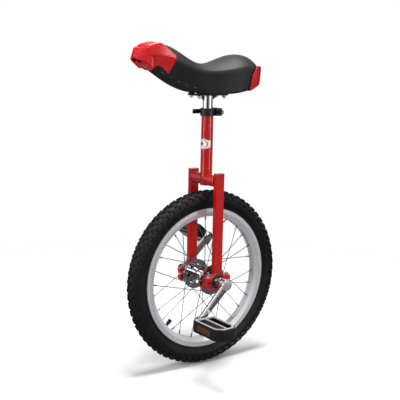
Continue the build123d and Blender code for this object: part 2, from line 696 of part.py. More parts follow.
def seat_clamp_collar():
    """Split collar with two ears behind the neck and a thin lip over the neck's end."""
    ears = rectangle(CLAMP_X - CLAMP_EAR_DEPTH / 2, -NECK_RADIUS, -CLAMP_EAR, CLAMP_EAR)
    body = upright(Circle(NECK_RADIUS + COLLAR_WALL) + ears, COLLAR_BOTTOM, COLLAR_TOP)
    body -= upright(Circle(NECK_RADIUS), COLLAR_BOTTOM - 1, NECK_TOP)
    body -= upright(Circle(POST_RADIUS + 0.4), NECK_TOP - 1, COLLAR_TOP + 1)
    split = rectangle(CLAMP_X - CLAMP_EAR_DEPTH, 0, -NECK_SLOT / 2, NECK_SLOT / 2)
    body -= upright(split, COLLAR_BOTTOM - 1, COLLAR_TOP + 1)
    return body - skewer_bar(SKEWER_RADIUS + BOLT_CLEARANCE, -CLAMP_EAR - 1, CLAMP_EAR + 1)


def skewer_bar(radius, y0, y1):
    return rod((CLAMP_X, y0, CLAMP_Z), (CLAMP_X, y1, CLAMP_Z), radius)


def clamp_pin_bar(radius, half_height):
    return rod((CLAMP_X, PIVOT_Y, CLAMP_Z - half_height), (CLAMP_X, PIVOT_Y, CLAMP_Z + half_height), radius)


def clamp_skewer():
    """Rod through the ears, with an eye for the cam's pin at its right end."""
    body = skewer_bar(SKEWER_RADIUS, PIVOT_Y, CLAMP_EAR + CLAMP_NUT_LENGTH + 2.5)
    body += clamp_pin_bar(SKEWER_EYE_RADIUS, SKEWER_EYE_HEIGHT / 2)
    return body - clamp_pin_bar(SKEWER_RADIUS, SKEWER_EYE_HEIGHT)


def clamp_nut():
    nut = skewer_bar(CLAMP_NUT_RADIUS, CLAMP_EAR, CLAMP_EAR + CLAMP_NUT_LENGTH)
    return nut - skewer_bar(SKEWER_RADIUS, CLAMP_EAR - 1, CLAMP_EAR + CLAMP_NUT_LENGTH + 1)


def clamp_cam_pin():
    return clamp_pin_bar(SKEWER_RADIUS, LEVER_HEIGHT / 2)


def clamp_lever():
    """Cam and handle, closed and pointing forward; it is forked round the skewer's eye."""
    plan = Circle(CAM_RADIUS)
    plan += outline([(0, -CAM_RADIUS), (LEVER_LENGTH * 0.5, -CAM_RADIUS), (LEVER_LENGTH, -LEVER_WIDTH / 2 - 2),
                     (LEVER_LENGTH, LEVER_WIDTH / 2 - 2), (LEVER_LENGTH * 0.4, CAM_RADIUS - LEVER_WIDTH),
                     (0, CAM_RADIUS)])
    body = upright(plan, -LEVER_HEIGHT / 2, LEVER_HEIGHT / 2)
    body = body + Pos(LEVER_LENGTH, -2, 0) * upright(Circle(LEVER_WIDTH / 2), -LEVER_HEIGHT / 2, LEVER_HEIGHT / 2)
    slot = rectangle(-CAM_RADIUS - 1, SKEWER_EYE_RADIUS + 0.6, -CAM_RADIUS - 1, CAM_RADIUS + 1)
    gap = SKEWER_RADIUS + 0.5
    body -= upright(slot, -gap, gap)
    body -= upright(Circle(SKEWER_RADIUS + RUNNING_FIT), -LEVER_HEIGHT, LEVER_HEIGHT)
    return Pos(CLAMP_X, PIVOT_Y, CLAMP_Z) * body


# ---------------------------------------------------------------- seat post and saddle

def seat_post():
    tube = Circle(POST_RADIUS) - Circle(POST_RADIUS - POST_WALL)
    return upright(tube, POST_BOTTOM, PLATE_TOP - PLATE_THICKNESS)


def post_end_plug():
    """Plug in the post's lower end, with a rim under it."""
    plug = upright(Circle(POST_RADIUS - POST_WALL - RUNNING_FIT), POST_BOTTOM - 3, POST_BOTTOM + PLUG_LENGTH)
    return plug + upright(Circle(POST_RADIUS - 0.3), POST_BOTTOM - 3, POST_BOTTOM - 0.3)


def stud_places():
    return [(x, y) for x in (-STUD_X, STUD_X) for y in (-STUD_Y, STUD_Y)]


def post_bracket():
    """Pressed plate welded on the post, with two stiffening webs below it."""
    plate = RectangleRounded(PLATE_LENGTH, PLATE_WIDTH, PLATE_CORNER)
    for x, y in stud_places():
        plate -= Pos(x, y) * Circle(BOLT_RADIUS + BOLT_CLEARANCE)
    bracket = upright(plate, PLATE_TOP - PLATE_THICKNESS, PLATE_TOP)
    under = PLATE_TOP - PLATE_THICKNESS
    web = outline([(POST_RADIUS - 1, under), (STUD_X - 8, under), (POST_RADIUS - 1, under - WEB_DEPTH)])
    for face in (web, mirror(web, about=Plane.YZ)):
        bracket += plate_y(face, -WEB_THICKNESS / 2, WEB_THICKNESS / 2)
    return bracket - upright(Circle(POST_RADIUS), under - 20, under)


def saddle_section(x, section, inset):
    """Closed outline across the saddle: side walls that lean out, and a soft arch above."""
    crest, half_width, shoulder, half_foot, foot_height = section
    width = half_width - inset
    foot = half_foot - inset
    top = crest - inset
    base = FLOOR_OF_SECTIONS
    left = Polyline((-foot, base), (-foot, foot_height), (-width, shoulder))
    dip = top - (top - shoulder) * 0.10
    arch = Spline((-width, shoulder), (-width * 0.62, dip - 1), (0, top), (width * 0.62, dip - 1),
                  (width, shoulder), tangents=[(0, 1), (0, -1)])
    right = Polyline((width, shoulder), (foot, foot_height), (foot, base))
    face = make_face([*left.edges(), arch, *right.edges(), Line((foot, base), (-foot, base))])
    return Plane(origin=(x, 0, 0), x_dir=(0, 1, 0), z_dir=(1, 0, 0)) * face


def saddle_solid(inset):
    """Whole saddle shape down to a flat floor, drawn in all round by an inset."""
    first = SADDLE_SECTIONS[0]
    last = SADDLE_SECTIONS[-1]
    faces = []
    for section in SADDLE_SECTIONS:
        shift = inset if section is first else -inset if section is last else 0
        faces.append(saddle_section(section[0] + shift, section[1:], inset))
    return loft(faces)


def above_underside(offset):
    """Everything above the saddle's underside raised by an offset."""
    curve = Spline(*[(x, z + offset) for x, z in SADDLE_UNDERSIDE])
    start, end = curve @ 0, curve @ 1
    lid = 900.0
    face = make_face([curve, Line(end, (end.X, lid)), Line((end.X, lid), (start.X, lid)),
                      Line((start.X, lid), start)])
    return plate_y(face, -120, 120)


def saddle_cover():
    shell = saddle_solid(0) - saddle_solid(COVER_THICKNESS)
    return shell & above_underside(0)


def saddle_base():
    """Plastic shell under the foam, with a round pad at each stud that rests on the bracket."""
    inside = saddle_solid(COVER_THICKNESS)
    base = (inside & above_underside(0)) - above_underside(BASE_THICKNESS)
    for x, y in stud_places():
        base += rod((x, y, PLATE_TOP), (x, y, PLATE_TOP + BASE_THICKNESS + 1), PAD_RADIUS)
    base -= saddle_studs()
    return base - [screw_bar(seat, up, SCREW_RADIUS, 0, SCREW_LENGTH) for seat, up in screw_seats()]


def saddle_foam():
    foam = saddle_solid(COVER_THICKNESS) & above_underside(BASE_THICKNESS)
    heads = [rod((x, y, PLATE_TOP), (x, y, PLATE_TOP + 9), PAD_RADIUS + 0.3) for x, y in stud_places()]
    tips = [screw_bar(seat, up, SCREW_RADIUS + 0.3, 0, SCREW_LENGTH + 1) for seat, up in screw_seats()]
    return foam - heads - tips


def saddle_studs():
    """Four studs with round heads held in the base."""
    made = []
    for x, y in stud_places():
        top = PLATE_TOP + BASE_THICKNESS + 1
        stud = rod((x, y, PLATE_TOP - PLATE_THICKNESS - NUT_HEIGHT - 2), (x, y, top), BOLT_RADIUS)
        made.append(stud + rod((x, y, top), (x, y, top + STUD_HEAD), PAD_RADIUS))
    return made


def saddle_fixings():
    """The studs, and the nuts that clamp the bracket against the base's pads."""
    pieces = saddle_studs()
    under = PLATE_TOP - PLATE_THICKNESS
    for x, y in stud_places():
        nut = Pos(x, y, 0) * hexagon(BOLT_HEAD_FLATS, under - NUT_HEIGHT, under)
        pieces.append(nut - rod((x, y, under - 10), (x, y, under + 1), BOLT_RADIUS))
    return pieces


def bumper(side_points, grown):
    """Bumper cup: a grown saddle kept inside the bumper's side view, with the saddle cut out."""
    side = plate_y(outline(side_points), -120, 120)
    cup = (grown & side) - (saddle_solid(0) & above_underside(0))
    return cup - [screw_bar(seat, up, SCREW_RADIUS, 0, SCREW_LENGTH) for seat, up in screw_seats()]


def front_bumper():
    """Nose bumper with a finger recess below, which serves as the carrying grip."""
    ahead = rectangle(NOSE_CENTRE, NOSE_CENTRE + NOSE_REACH, -NOSE_HALF_WIDTH, NOSE_HALF_WIDTH)
    nose = Pos(NOSE_CENTRE, 0) * Ellipse(NOSE_REACH, NOSE_HALF_WIDTH) & ahead
    grown = saddle_solid(-BUMPER_THICKNESS) + upright(nose, FLOOR_OF_SECTIONS, BUMPER_CROWN)
    cup = bumper(FRONT_BUMPER_SIDE, grown)
    recess = Pos(NOSE_CENTRE, 0) * Ellipse(NOSE_REACH - GRIP_WALL, NOSE_HALF_WIDTH - GRIP_WALL)
    start = SADDLE_SECTIONS[-1][0] + 1
    recess &= rectangle(start, start + NOSE_REACH, -NOSE_HALF_WIDTH, NOSE_HALF_WIDTH)
    return cup - upright(recess, FLOOR_OF_SECTIONS, BUMPER_CROWN - 2 * GRIP_WALL)


def rear_bumper():
    return bumper(REAR_BUMPER_SIDE, saddle_solid(-BUMPER_THICKNESS))


def screw_seats():
    """Seat point and inward direction of each bumper screw, on the sloping lips under the base."""
    seats = []
    for place, line in ((FRONT_SCREW, FRONT_BUMPER_SIDE[6:8]), (REAR_SCREW, REAR_BUMPER_SIDE[0:2])):
        (x0, z0), (x1, z1) = sorted(line)
        slope = (z1 - z0) / (x1 - x0)
        up = Vector(-slope, 0, 1).normalized()
        for y in (-place[1], place[1]):
            seats.append((Vector(place[0], y, z0 + slope * (place[0] - x0)), up))
    return seats


def screw_bar(seat, up, radius, start, end):
    return rod(seat + up * start, seat + up * end, radius)


def bumper_screws():
    made = []
    for seat, up in screw_seats():
        head = screw_bar(seat, up, SCREW_HEAD_RADIUS, -SCREW_HEAD, 0)
        made.append(head + screw_bar(seat, up, SCREW_RADIUS, -SCREW_HEAD, SCREW_LENGTH))
    return made


# ---------------------------------------------------------------- output

def write(name, shapes):
    export_step(Compound(solids_of(shapes)), f"parts/{name}.step")


def main():
    os.makedirs("parts", exist_ok=True)
    wheel = {
        "tyre": tyre(), "inner_tube": inner_tube(), "rim": rim(), "rim_tape": rim_tape(),
        "rim_joint_sleeve": rim_joint_sleeve(), "valve_stem": valve_stem(), "valve_cap": valve_cap(),
        "spokes": spokes(), "spoke_nipples": spoke_nipples(), "hub_barrel": hub_barrel(),
        "hub_flanges": [hub_flange(1), hub_flange(-1)], "axle": axle(),
        "bearing_spacers": left_and_right(bearing_spacer()),
        "bearing_inner_races": left_and_right(bearing_inner_race()),
    }
    fork = {
        "bearing_outer_races": left_and_right(bearing_outer_race()),
        "bearing_seals": [half for seal in bearing_seals() for half in left_and_right(seal)],
        "bearing_housings": left_and_right(holder_half(True)),
        "bearing_caps": left_and_right(holder_half(False)),
        "housing_bolts": [half for bolt in housing_bolts() for half in left_and_right(bolt)],
        "housing_nuts": [half for nut in housing_nuts() for half in left_and_right(nut)],
    }
    for name, shapes in (wheel | fork).items():
        write(name, [AXLE * piece for piece in solids_of(shapes)])
    for name, side in (("left", 1), ("right", -1)):
        balls = left_and_right(Compound(bearing_balls()))[0 if side > 0 else 1]
        cage = left_and_right(ball_cage())[0 if side > 0 else 1]
        write(f"bearing_balls_{name}", AXLE * balls)
        write(f"ball_cage_{name}", AXLE * cage)
        write(f"fork_leg_{name}", left_and_right(fork_leg())[0 if side > 0 else 1])
        write(f"crank_{name}", at_crank(crank(), side))
        write(f"pedal_body_{name}", at_pedal(pedal_body(), side))
        write(f"pedal_plates_{name}", at_pedal(pedal_plates(), side))
        write(f"pedal_reflectors_{name}", at_pedal(pedal_reflectors(), side))
        write(f"pedal_end_cap_{name}", at_pedal(pedal_end_cap(), side))
        write(f"pedal_bushes_{name}", at_pedal(pedal_bushes(), side))
    write("crank_nuts", [at_crank(crank_nut(), side) for side in (1, -1)])
    write("crank_dust_caps", [at_crank(crank_dust_cap(), side) for side in (1, -1)])
    write("pedal_spindles", [at_pedal(pedal_spindle(), side) for side in (1, -1)])
    rest = {
        "leg_top_caps": left_and_right(leg_top_cap()), "crown_tubes": left_and_right(crown_tube()),
        "neck_tube": neck_tube(), "neck_badge": neck_badge(), "seat_clamp_collar": seat_clamp_collar(),
        "clamp_skewer": clamp_skewer(), "clamp_nut": clamp_nut(), "clamp_cam_pin": clamp_cam_pin(),
        "clamp_lever": clamp_lever(), "seat_post": seat_post(), "post_end_plug": post_end_plug(),
        "post_bracket": post_bracket(), "saddle_base": saddle_base(), "saddle_foam": saddle_foam(),
        "saddle_cover": saddle_cover(), "saddle_fixings": saddle_fixings(),
        "front_bumper": front_bumper(), "rear_bumper": rear_bumper(), "bumper_screws": bumper_screws(),
    }
    for name, shapes in rest.items():
        write(name, shapes)


main()
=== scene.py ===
from math import atan2, cos, radians, sin, tau

import bmesh
import bpy
from mathutils import Matrix, Vector
from mathutils.bvhtree import BVHTree


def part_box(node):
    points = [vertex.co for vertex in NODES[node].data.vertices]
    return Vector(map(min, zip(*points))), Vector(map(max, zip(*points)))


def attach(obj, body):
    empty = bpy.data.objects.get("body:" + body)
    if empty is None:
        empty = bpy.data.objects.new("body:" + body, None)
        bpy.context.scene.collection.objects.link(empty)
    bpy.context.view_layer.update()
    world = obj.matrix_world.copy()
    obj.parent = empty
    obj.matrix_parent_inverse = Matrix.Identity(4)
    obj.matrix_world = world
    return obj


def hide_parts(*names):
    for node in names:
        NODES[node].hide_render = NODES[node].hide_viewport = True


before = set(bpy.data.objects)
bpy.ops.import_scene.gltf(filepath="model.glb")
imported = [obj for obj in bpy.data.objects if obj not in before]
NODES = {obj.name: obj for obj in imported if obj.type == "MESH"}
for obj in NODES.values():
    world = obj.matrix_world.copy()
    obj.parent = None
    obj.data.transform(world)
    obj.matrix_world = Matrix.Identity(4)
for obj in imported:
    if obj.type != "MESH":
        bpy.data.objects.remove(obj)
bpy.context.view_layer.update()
MM = 0.001

bl_info = {
    "name": "Unicycle finish",
    "version": (1, 0, 0),
    "blender": (4, 5, 0),
    "location": "3D View > Sidebar > Unicycle",
    "description": "Builds the visible surfaces of an 18 inch unicycle round its CAD frame",
    "category": "Object",
}


# ------------------------------------------------------------ sizes read from the frame

def middle(node):
    low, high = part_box(node)
    return (low + high) / 2


def span(node):
    low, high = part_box(node)
    return high - low


AXLE_HEIGHT = middle("axle").z
TYRE_RADIUS = span("tyre").x / 2
TYRE_SECTION = span("tyre").y / 2


# ------------------------------------------------------------ properties

def length(name, text, default):
    return bpy.props.FloatProperty(name=name, description=text, default=default, unit="LENGTH", precision=5)


def colour(name, text, code):
    return bpy.props.StringProperty(name=name, description=text, default=code)


class TyreSettings(bpy.types.PropertyGroup):
    pitches: bpy.props.IntProperty(name="Pitches", description="Repeats of the tread round the tyre",
                                   default=64, min=12)
    knob_height: length("Knob height", "Height of a tread block above the casing", 5.4 * MM)
    rubber: colour("Rubber", "sRGB colour of the tyre", "#121214")


class SaddleSettings(bpy.types.PropertyGroup):
    stations: bpy.props.IntProperty(name="Stations", description="Rings along the saddle", default=120, min=20)
    skin: length("Skin", "Thickness of the vinyl", 1.4 * MM)
    stitch_pitch: length("Stitch pitch", "From one stitch to the next", 4.2 * MM)
    vinyl: colour("Vinyl", "sRGB colour of the cover", "#1a1a1d")
    foam: colour("Foam", "sRGB colour of the padding", "#cfc7a6")
    pressure: bpy.props.FloatProperty(name="Pressure", description="How hard the foam fills the cover",
                                      default=1.6, min=0.0)


class PaintSettings(bpy.types.PropertyGroup):
    enamel: colour("Enamel", "sRGB colour of the frame's paint", "#bd1512")
    bumper: colour("Bumper", "sRGB colour of the moulded bumpers", "#d3121b")
    black: colour("Black", "sRGB colour of the clamp's paint", "#17171a")
    plate: colour("Pedal plate", "sRGB colour of the pedal's frames", "#a09e9e")
    amber: colour("Amber", "sRGB colour of the reflectors", "#6a3618")


class StageSettings(bpy.types.PropertyGroup):
    azimuth: bpy.props.FloatProperty(name="Azimuth", description="Direction of view, from the left side",
                                     default=radians(143.68), subtype="ANGLE")
    elevation: bpy.props.FloatProperty(name="Elevation", description="Height of the view above level",
                                       default=radians(10.31), subtype="ANGLE")
    roll: bpy.props.FloatProperty(name="Roll", description="Turn of the camera about its view",
                                  default=radians(1.28), subtype="ANGLE")
    lens: bpy.props.FloatProperty(name="Lens", description="Focal length in millimetres", default=75.4)
    eye: bpy.props.FloatVectorProperty(name="Eye", description="Place of the camera",
                                       default=(1.2559, 1.6848, 0.8122), subtype="TRANSLATION", unit="LENGTH")
    floor: colour("Floor", "sRGB colour of the floor", "#fbfbfb")


GROUPS = {"tyre": TyreSettings, "saddle": SaddleSettings, "paint": PaintSettings, "stage": StageSettings}


def settings(group):
    return getattr(bpy.context.scene, "unicycle_" + group)


# ------------------------------------------------------------ node and material helpers

def linear(code):
    """Linear colour of an sRGB hex value."""
    parts = [int(code[i:i + 2], 16) / 255 for i in (1, 3, 5)]
    return tuple(p / 12.92 if p <= 0.04045 else ((p + 0.055) / 1.055) ** 2.4 for p in parts) + (1.0,)


def add(tree, kind, links=None, **facts):
    """Adds a node, sets its facts, and fills or links its inputs."""
    made = tree.nodes.new(kind)
    for name, value in facts.items():
        setattr(made, name, value)
    for key, value in (links or {}).items():
        if isinstance(value, bpy.types.NodeSocket):
            tree.links.new(value, made.inputs[key])
        else:
            made.inputs[key].default_value = value
    return made


def surface(name, code, **sockets):
    """A material with one Principled shader, its uniform values set on the shader's own sockets."""
    made = bpy.data.materials.new(name)
    made.use_nodes = True
    shader = made.node_tree.nodes["Principled BSDF"]
    shader.inputs["Base Color"].default_value = linear(code)
    for socket, value in sockets.items():
        shader.inputs[socket.replace("_", " ")].default_value = value
    made.diffuse_color = linear(code)
    return made, made.node_tree, shader


def grain(tree, shader, scale, depth, strength=1.0, detail=2.0):
    """Fine uneven skin: noise of a size in metres, as deep as given, bumped into the shader's normal."""
    spot = add(tree, "ShaderNodeTexCoord")
    noise = add(tree, "ShaderNodeTexNoise", {"Vector": spot.outputs["Object"], "Scale": 1 / scale,
                                             "Detail": detail, "Roughness": 0.55})
    bump = add(tree, "ShaderNodeBump", {"Height": noise.outputs["Fac"], "Distance": depth,
                                        "Strength": strength})
    tree.links.new(bump.outputs["Normal"], shader.inputs["Normal"])
    return noise


def vary(tree, shader, socket, low, high, scale):
    """Slow variation of one shader value between two numbers, over patches of a size in metres."""
    spot = add(tree, "ShaderNodeTexCoord")
    noise = add(tree, "ShaderNodeTexNoise", {"Vector": spot.outputs["Object"], "Scale": 1 / scale,
                                             "Detail": 3.0})
    ramp = add(tree, "ShaderNodeMapRange", {"Value": noise.outputs["Fac"], "From Min": 0.3, "From Max": 0.7,
                                            "To Min": low, "To Max": high})
    tree.links.new(ramp.outputs["Result"], shader.inputs[socket])


def tint(tree, shader, low_code, high_code, scale, low=0.35, high=0.65):
    """Slow variation of the base colour between two hex colours."""
    spot = add(tree, "ShaderNodeTexCoord")
    noise = add(tree, "ShaderNodeTexNoise", {"Vector": spot.outputs["Object"], "Scale": 1 / scale,
                                             "Detail": 4.0})
    ramp = add(tree, "ShaderNodeValToRGB", {"Fac": noise.outputs["Fac"]})
    ramp.color_ramp.elements[0].color = linear(low_code)
    ramp.color_ramp.elements[0].position = low
    ramp.color_ramp.elements[1].color = linear(high_code)
    ramp.color_ramp.elements[1].position = high
    tree.links.new(ramp.outputs["Color"], shader.inputs["Base Color"])
    return ramp


# ------------------------------------------------------------ materials

def tyre_rubber():
    """Carbon-black tyre rubber: matte, with a dusty bloom in slow patches and a cured skin."""
    made, tree, shader = surface("tyre_rubber", settings("tyre").rubber, Specular_IOR_Level=0.3)
    tint(tree, shader, "#08080a", "#121214", 22 * MM)
    vary(tree, shader, "Roughness", 0.42, 0.66, 9 * MM)
    grain(tree, shader, 0.9 * MM, 0.12 * MM, 0.7)
    return made


def machined_rim():
    """Machined aluminium rim: fine turned lines round the axle, which stretch the highlights."""
    made, tree, shader = surface("machined_rim", "#d9dadc", Metallic=0.55, Anisotropic=0.45)
    spot = add(tree, "ShaderNodeTexCoord")
    split = add(tree, "ShaderNodeSeparateXYZ", {"Vector": spot.outputs["Object"]})
    rise = add(tree, "ShaderNodeMath", {0: split.outputs["Z"], 1: AXLE_HEIGHT}, operation="SUBTRACT")
    flat = add(tree, "ShaderNodeCombineXYZ", {"X": split.outputs["X"], "Y": rise.outputs[0]})
    radius = add(tree, "ShaderNodeVectorMath", {0: flat.outputs[0]}, operation="LENGTH")
    lines = add(tree, "ShaderNodeCombineXYZ", {"X": radius.outputs["Value"], "Y": split.outputs["Y"]})
    # turning lines are drawn 0.7 mm apart, coarser than the tool's, so that they show
    noise = add(tree, "ShaderNodeTexNoise", {"Vector": lines.outputs[0], "Scale": 1 / (0.7 * MM),
                                             "Detail": 2.0})
    rough = add(tree, "ShaderNodeMapRange", {"Value": noise.outputs["Fac"], "To Min": 0.20, "To Max": 0.42})
    tree.links.new(rough.outputs["Result"], shader.inputs["Roughness"])
    bump = add(tree, "ShaderNodeBump", {"Height": noise.outputs["Fac"], "Distance": 0.05 * MM, "Strength": 0.6})
    tree.links.new(bump.outputs["Normal"], shader.inputs["Normal"])
    shade = add(tree, "ShaderNodeValToRGB", {"Fac": noise.outputs["Fac"]})
    shade.color_ramp.elements[0].color = linear("#c6c4cb")
    shade.color_ramp.elements[0].position = 0.3
    shade.color_ramp.elements[1].color = linear("#e6e4ea")
    shade.color_ramp.elements[1].position = 0.6
    tree.links.new(shade.outputs["Color"], shader.inputs["Base Color"])
    return made


def chrome():
    """Decorative chrome plate over polished steel: near mirror, with faint hazy patches."""
    made, tree, shader = surface("chrome_plate", "#e2e3e6", Metallic=1.0)
    vary(tree, shader, "Roughness", 0.05, 0.14, 14 * MM)
    grain(tree, shader, 6 * MM, 0.05 * MM, 0.25)
    return made


def drawn_steel():
    """Drawn stainless wire: satin, slightly darker than plate."""
    made, tree, shader = surface("drawn_stainless", "#9b9c9f", Metallic=1.0)
    vary(tree, shader, "Roughness", 0.22, 0.40, 3 * MM)
    tint(tree, shader, "#808185", "#adaeb1", 8 * MM)
    return made


def nickel_brass():
    """Nickel-plated brass nipples: grey, with cloudy plating."""
    made, tree, shader = surface("nickel_plated_brass", "#a9a9a8", Metallic=1.0)
    vary(tree, shader, "Roughness", 0.16, 0.34, 2 * MM)
    tint(tree, shader, "#8b8a86", "#b9b9b7", 2 * MM)
    return made


def ground_steel():
    """Ground bearing steel: even, fine and cool."""
    made, tree, shader = surface("ground_steel", "#a9abae", Metallic=1.0)
    vary(tree, shader, "Roughness", 0.14, 0.28, 3 * MM)
    grain(tree, shader, 0.6 * MM, 0.02 * MM, 0.4)
    return made


def zinc_plate():
    """Zinc-plated fasteners: pale, with cloudy roughness."""
    made, tree, shader = surface("zinc_plated_steel", "#b6b9bd", Metallic=1.0)
    vary(tree, shader, "Roughness", 0.20, 0.45, 2 * MM)
    tint(tree, shader, "#9ea3a8", "#c8cbd0", 3 * MM)
    return made


def satin_aluminium():
    """Spun aluminium cap: soft satin, evenly grey from any side."""
    made, tree, shader = surface("satin_aluminium", "#b9bbc0", Metallic=0.6)
    vary(tree, shader, "Roughness", 0.42, 0.6, 4 * MM)
    tint(tree, shader, "#a2a4a9", "#babcc1", 3 * MM)
    return made


def red_enamel():
    """Stoved gloss enamel on steel: a deep colour under a clear gloss with slight orange peel."""
    made, tree, shader = surface("gloss_enamel", settings("paint").enamel, Coat_Weight=1.0, Coat_Roughness=0.06,
                                 Specular_IOR_Level=0.2)
    tint(tree, shader, "#ab0d0b", "#bf1310", 60 * MM)
    vary(tree, shader, "Roughness", 0.26, 0.36, 20 * MM)
    grain(tree, shader, 2.2 * MM, 0.03 * MM, 0.5)
    return made


def red_plastic():
    """Moulded gloss ABS: brighter than the enamel, with a faint sunk texture from the tool."""
    made, tree, shader = surface("moulded_abs", settings("paint").bumper, Coat_Weight=0.3, Coat_Roughness=0.15,
                                 IOR=1.54, Specular_IOR_Level=0.3)
    tint(tree, shader, "#bd0a10", "#cf1118", 35 * MM)
    vary(tree, shader, "Roughness", 0.24, 0.38, 12 * MM)
    grain(tree, shader, 1.1 * MM, 0.035 * MM, 0.5)
    return made


def black_enamel():
    """Black powder coat: satin with a fine pebble."""
    made, tree, shader = surface("black_powder_coat", settings("paint").black)
    vary(tree, shader, "Roughness", 0.32, 0.5, 5 * MM)
    grain(tree, shader, 0.7 * MM, 0.06 * MM, 0.6)
    return made


def black_nylon():
    """Injection-moulded black nylon with a spark-eroded texture."""
    made, tree, shader = surface("moulded_nylon", "#111113", IOR=1.53, Specular_IOR_Level=0.35)
    tint(tree, shader, "#0c0c0e", "#161619", 12 * MM)
    vary(tree, shader, "Roughness", 0.42, 0.62, 4 * MM)
    grain(tree, shader, 0.5 * MM, 0.07 * MM, 0.7)
    return made


def grey_plastic():
    """Light-grey moulded resin of the pedal frames, paler and darker in random patches."""
    made, tree, shader = surface("grey_moulded_resin", settings("paint").plate, IOR=1.5)
    tint(tree, shader, "#8f8d8d", "#adabab", 9 * MM)
    vary(tree, shader, "Roughness", 0.32, 0.55, 5 * MM)
    grain(tree, shader, 0.8 * MM, 0.05 * MM, 0.6)
    return made


def soft_rubber():
    """Black butyl rubber of the tube, the valve and the seals."""
    made, tree, shader = surface("butyl_rubber", "#151516", Specular_IOR_Level=0.4)
    vary(tree, shader, "Roughness", 0.5, 0.75, 5 * MM)
    grain(tree, shader, 0.6 * MM, 0.05 * MM, 0.6)
    return made


def tape_rubber():
    """Brick-red rim tape."""
    made, tree, shader = surface("rim_tape_rubber", "#7c3328")
    vary(tree, shader, "Roughness", 0.6, 0.8, 5 * MM)
    grain(tree, shader, 1.0 * MM, 0.08 * MM, 0.5)
    return made


def grained_vinyl():
    """Embossed upholstery vinyl: leathery cells about a millimetre across, with a soft sheen on the crests."""
    made, tree, shader = surface("embossed_vinyl", settings("saddle").vinyl, Specular_IOR_Level=0.4,
                                 Sheen_Weight=0.04, Sheen_Roughness=0.4)
    tint(tree, shader, "#141417", "#1e1e22", 45 * MM)
    spot = add(tree, "ShaderNodeTexCoord")
    wobble = add(tree, "ShaderNodeTexNoise", {"Vector": spot.outputs["Object"], "Scale": 1 / (2.5 * MM)})
    bent = add(tree, "ShaderNodeMix", {"Factor": 0.0012, "A": spot.outputs["Object"],
                                       "B": wobble.outputs["Color"]}, data_type="VECTOR")
    # cells are drawn 1.3 mm across, a little coarser than the real emboss, so that they show
    cells = add(tree, "ShaderNodeTexVoronoi", {"Vector": bent.outputs["Result"], "Scale": 1 / (1.3 * MM)},
                feature="DISTANCE_TO_EDGE")
    height = add(tree, "ShaderNodeMapRange", {"Value": cells.outputs["Distance"], "From Max": 0.35})
    rough = add(tree, "ShaderNodeMapRange", {"Value": height.outputs["Result"], "To Min": 0.56, "To Max": 0.40})
    tree.links.new(rough.outputs["Result"], shader.inputs["Roughness"])
    bump = add(tree, "ShaderNodeBump", {"Height": height.outputs["Result"], "Distance": 0.12 * MM,
                                        "Strength": 0.7})
    tree.links.new(bump.outputs["Normal"], shader.inputs["Normal"])
    return made


def open_foam():
    """Moulded polyurethane foam, with small open cells."""
    made, tree, shader = surface("polyurethane_foam", settings("saddle").foam, Roughness=0.95)
    tint(tree, shader, "#bfb693", "#ddd6ba", 10 * MM)
    grain(tree, shader, 0.8 * MM, 0.3 * MM, 1.0, 4.0)
    return made


def amber_lens():
    """Moulded acrylic reflector: amber, with a field of small prisms under a smooth face, each prism with
    painted shade towards its edges.
    """
    made, tree, shader = surface("amber_reflector", settings("paint").amber, Coat_Weight=1.0,
                                 Coat_Roughness=0.03, IOR=1.49, Roughness=0.22)
    spot = add(tree, "ShaderNodeTexCoord")
    # corner-cube prisms are drawn 2.2 mm across
    cells = add(tree, "ShaderNodeTexVoronoi", {"Vector": spot.outputs["Object"], "Scale": 1 / (2.2 * MM),
                                               "Randomness": 0.0}, distance="CHEBYCHEV")
    bump = add(tree, "ShaderNodeBump", {"Height": cells.outputs["Distance"], "Distance": 0.5 * MM,
                                        "Strength": 0.6})
    tree.links.new(bump.outputs["Normal"], shader.inputs["Normal"])
    # painted shade of the prism facets: each prism is lighter amber at its middle and painted darker brown
    # towards its edges
    shade = add(tree, "ShaderNodeValToRGB", {"Fac": cells.outputs["Distance"]})
    shade.color_ramp.elements[0].color = linear("#74401f")
    shade.color_ramp.elements[1].color = linear("#2e150a")
    shade.color_ramp.elements[1].position = 0.6
    tree.links.new(shade.outputs["Color"], shader.inputs["Base Color"])
    return made


def printed_roundel():
    """Printed film: a white disc with a dark dot in its middle and a red ring, under gloss laminate."""
    made, tree, shader = surface("printed_film", "#efefec", Coat_Weight=0.8, Coat_Roughness=0.05,
                                 Roughness=0.35)
    centre = middle("neck_badge")
    spot = add(tree, "ShaderNodeTexCoord")
    split = add(tree, "ShaderNodeSeparateXYZ", {"Vector": spot.outputs["Object"]})
    rise = add(tree, "ShaderNodeMath", {0: split.outputs["Z"], 1: centre.z}, operation="SUBTRACT")
    flat = add(tree, "ShaderNodeCombineXYZ", {"X": split.outputs["Y"], "Y": rise.outputs[0]})
    radius = add(tree, "ShaderNodeVectorMath", {0: flat.outputs[0]}, operation="LENGTH")
    wide = add(tree, "ShaderNodeMath", {0: radius.outputs["Value"], 1: 20 * MM}, operation="DIVIDE")
    rings = add(tree, "ShaderNodeValToRGB", {"Fac": wide.outputs[0]})
    rings.color_ramp.interpolation = "CONSTANT"
    stops = ((0.0, "#2a2a2c"), (0.22, "#f1f1ee"), (0.62, "#b5161b"), (0.70, "#f1f1ee"))
    for index, (position, code) in enumerate(stops):
        stop = rings.color_ramp.elements[index] if index < 2 else rings.color_ramp.elements.new(position)
        stop.position = position
        stop.color = linear(code)
    tree.links.new(rings.outputs["Color"], shader.inputs["Base Color"])
    grain(tree, shader, 3 * MM, 0.02 * MM, 0.3)
    return made


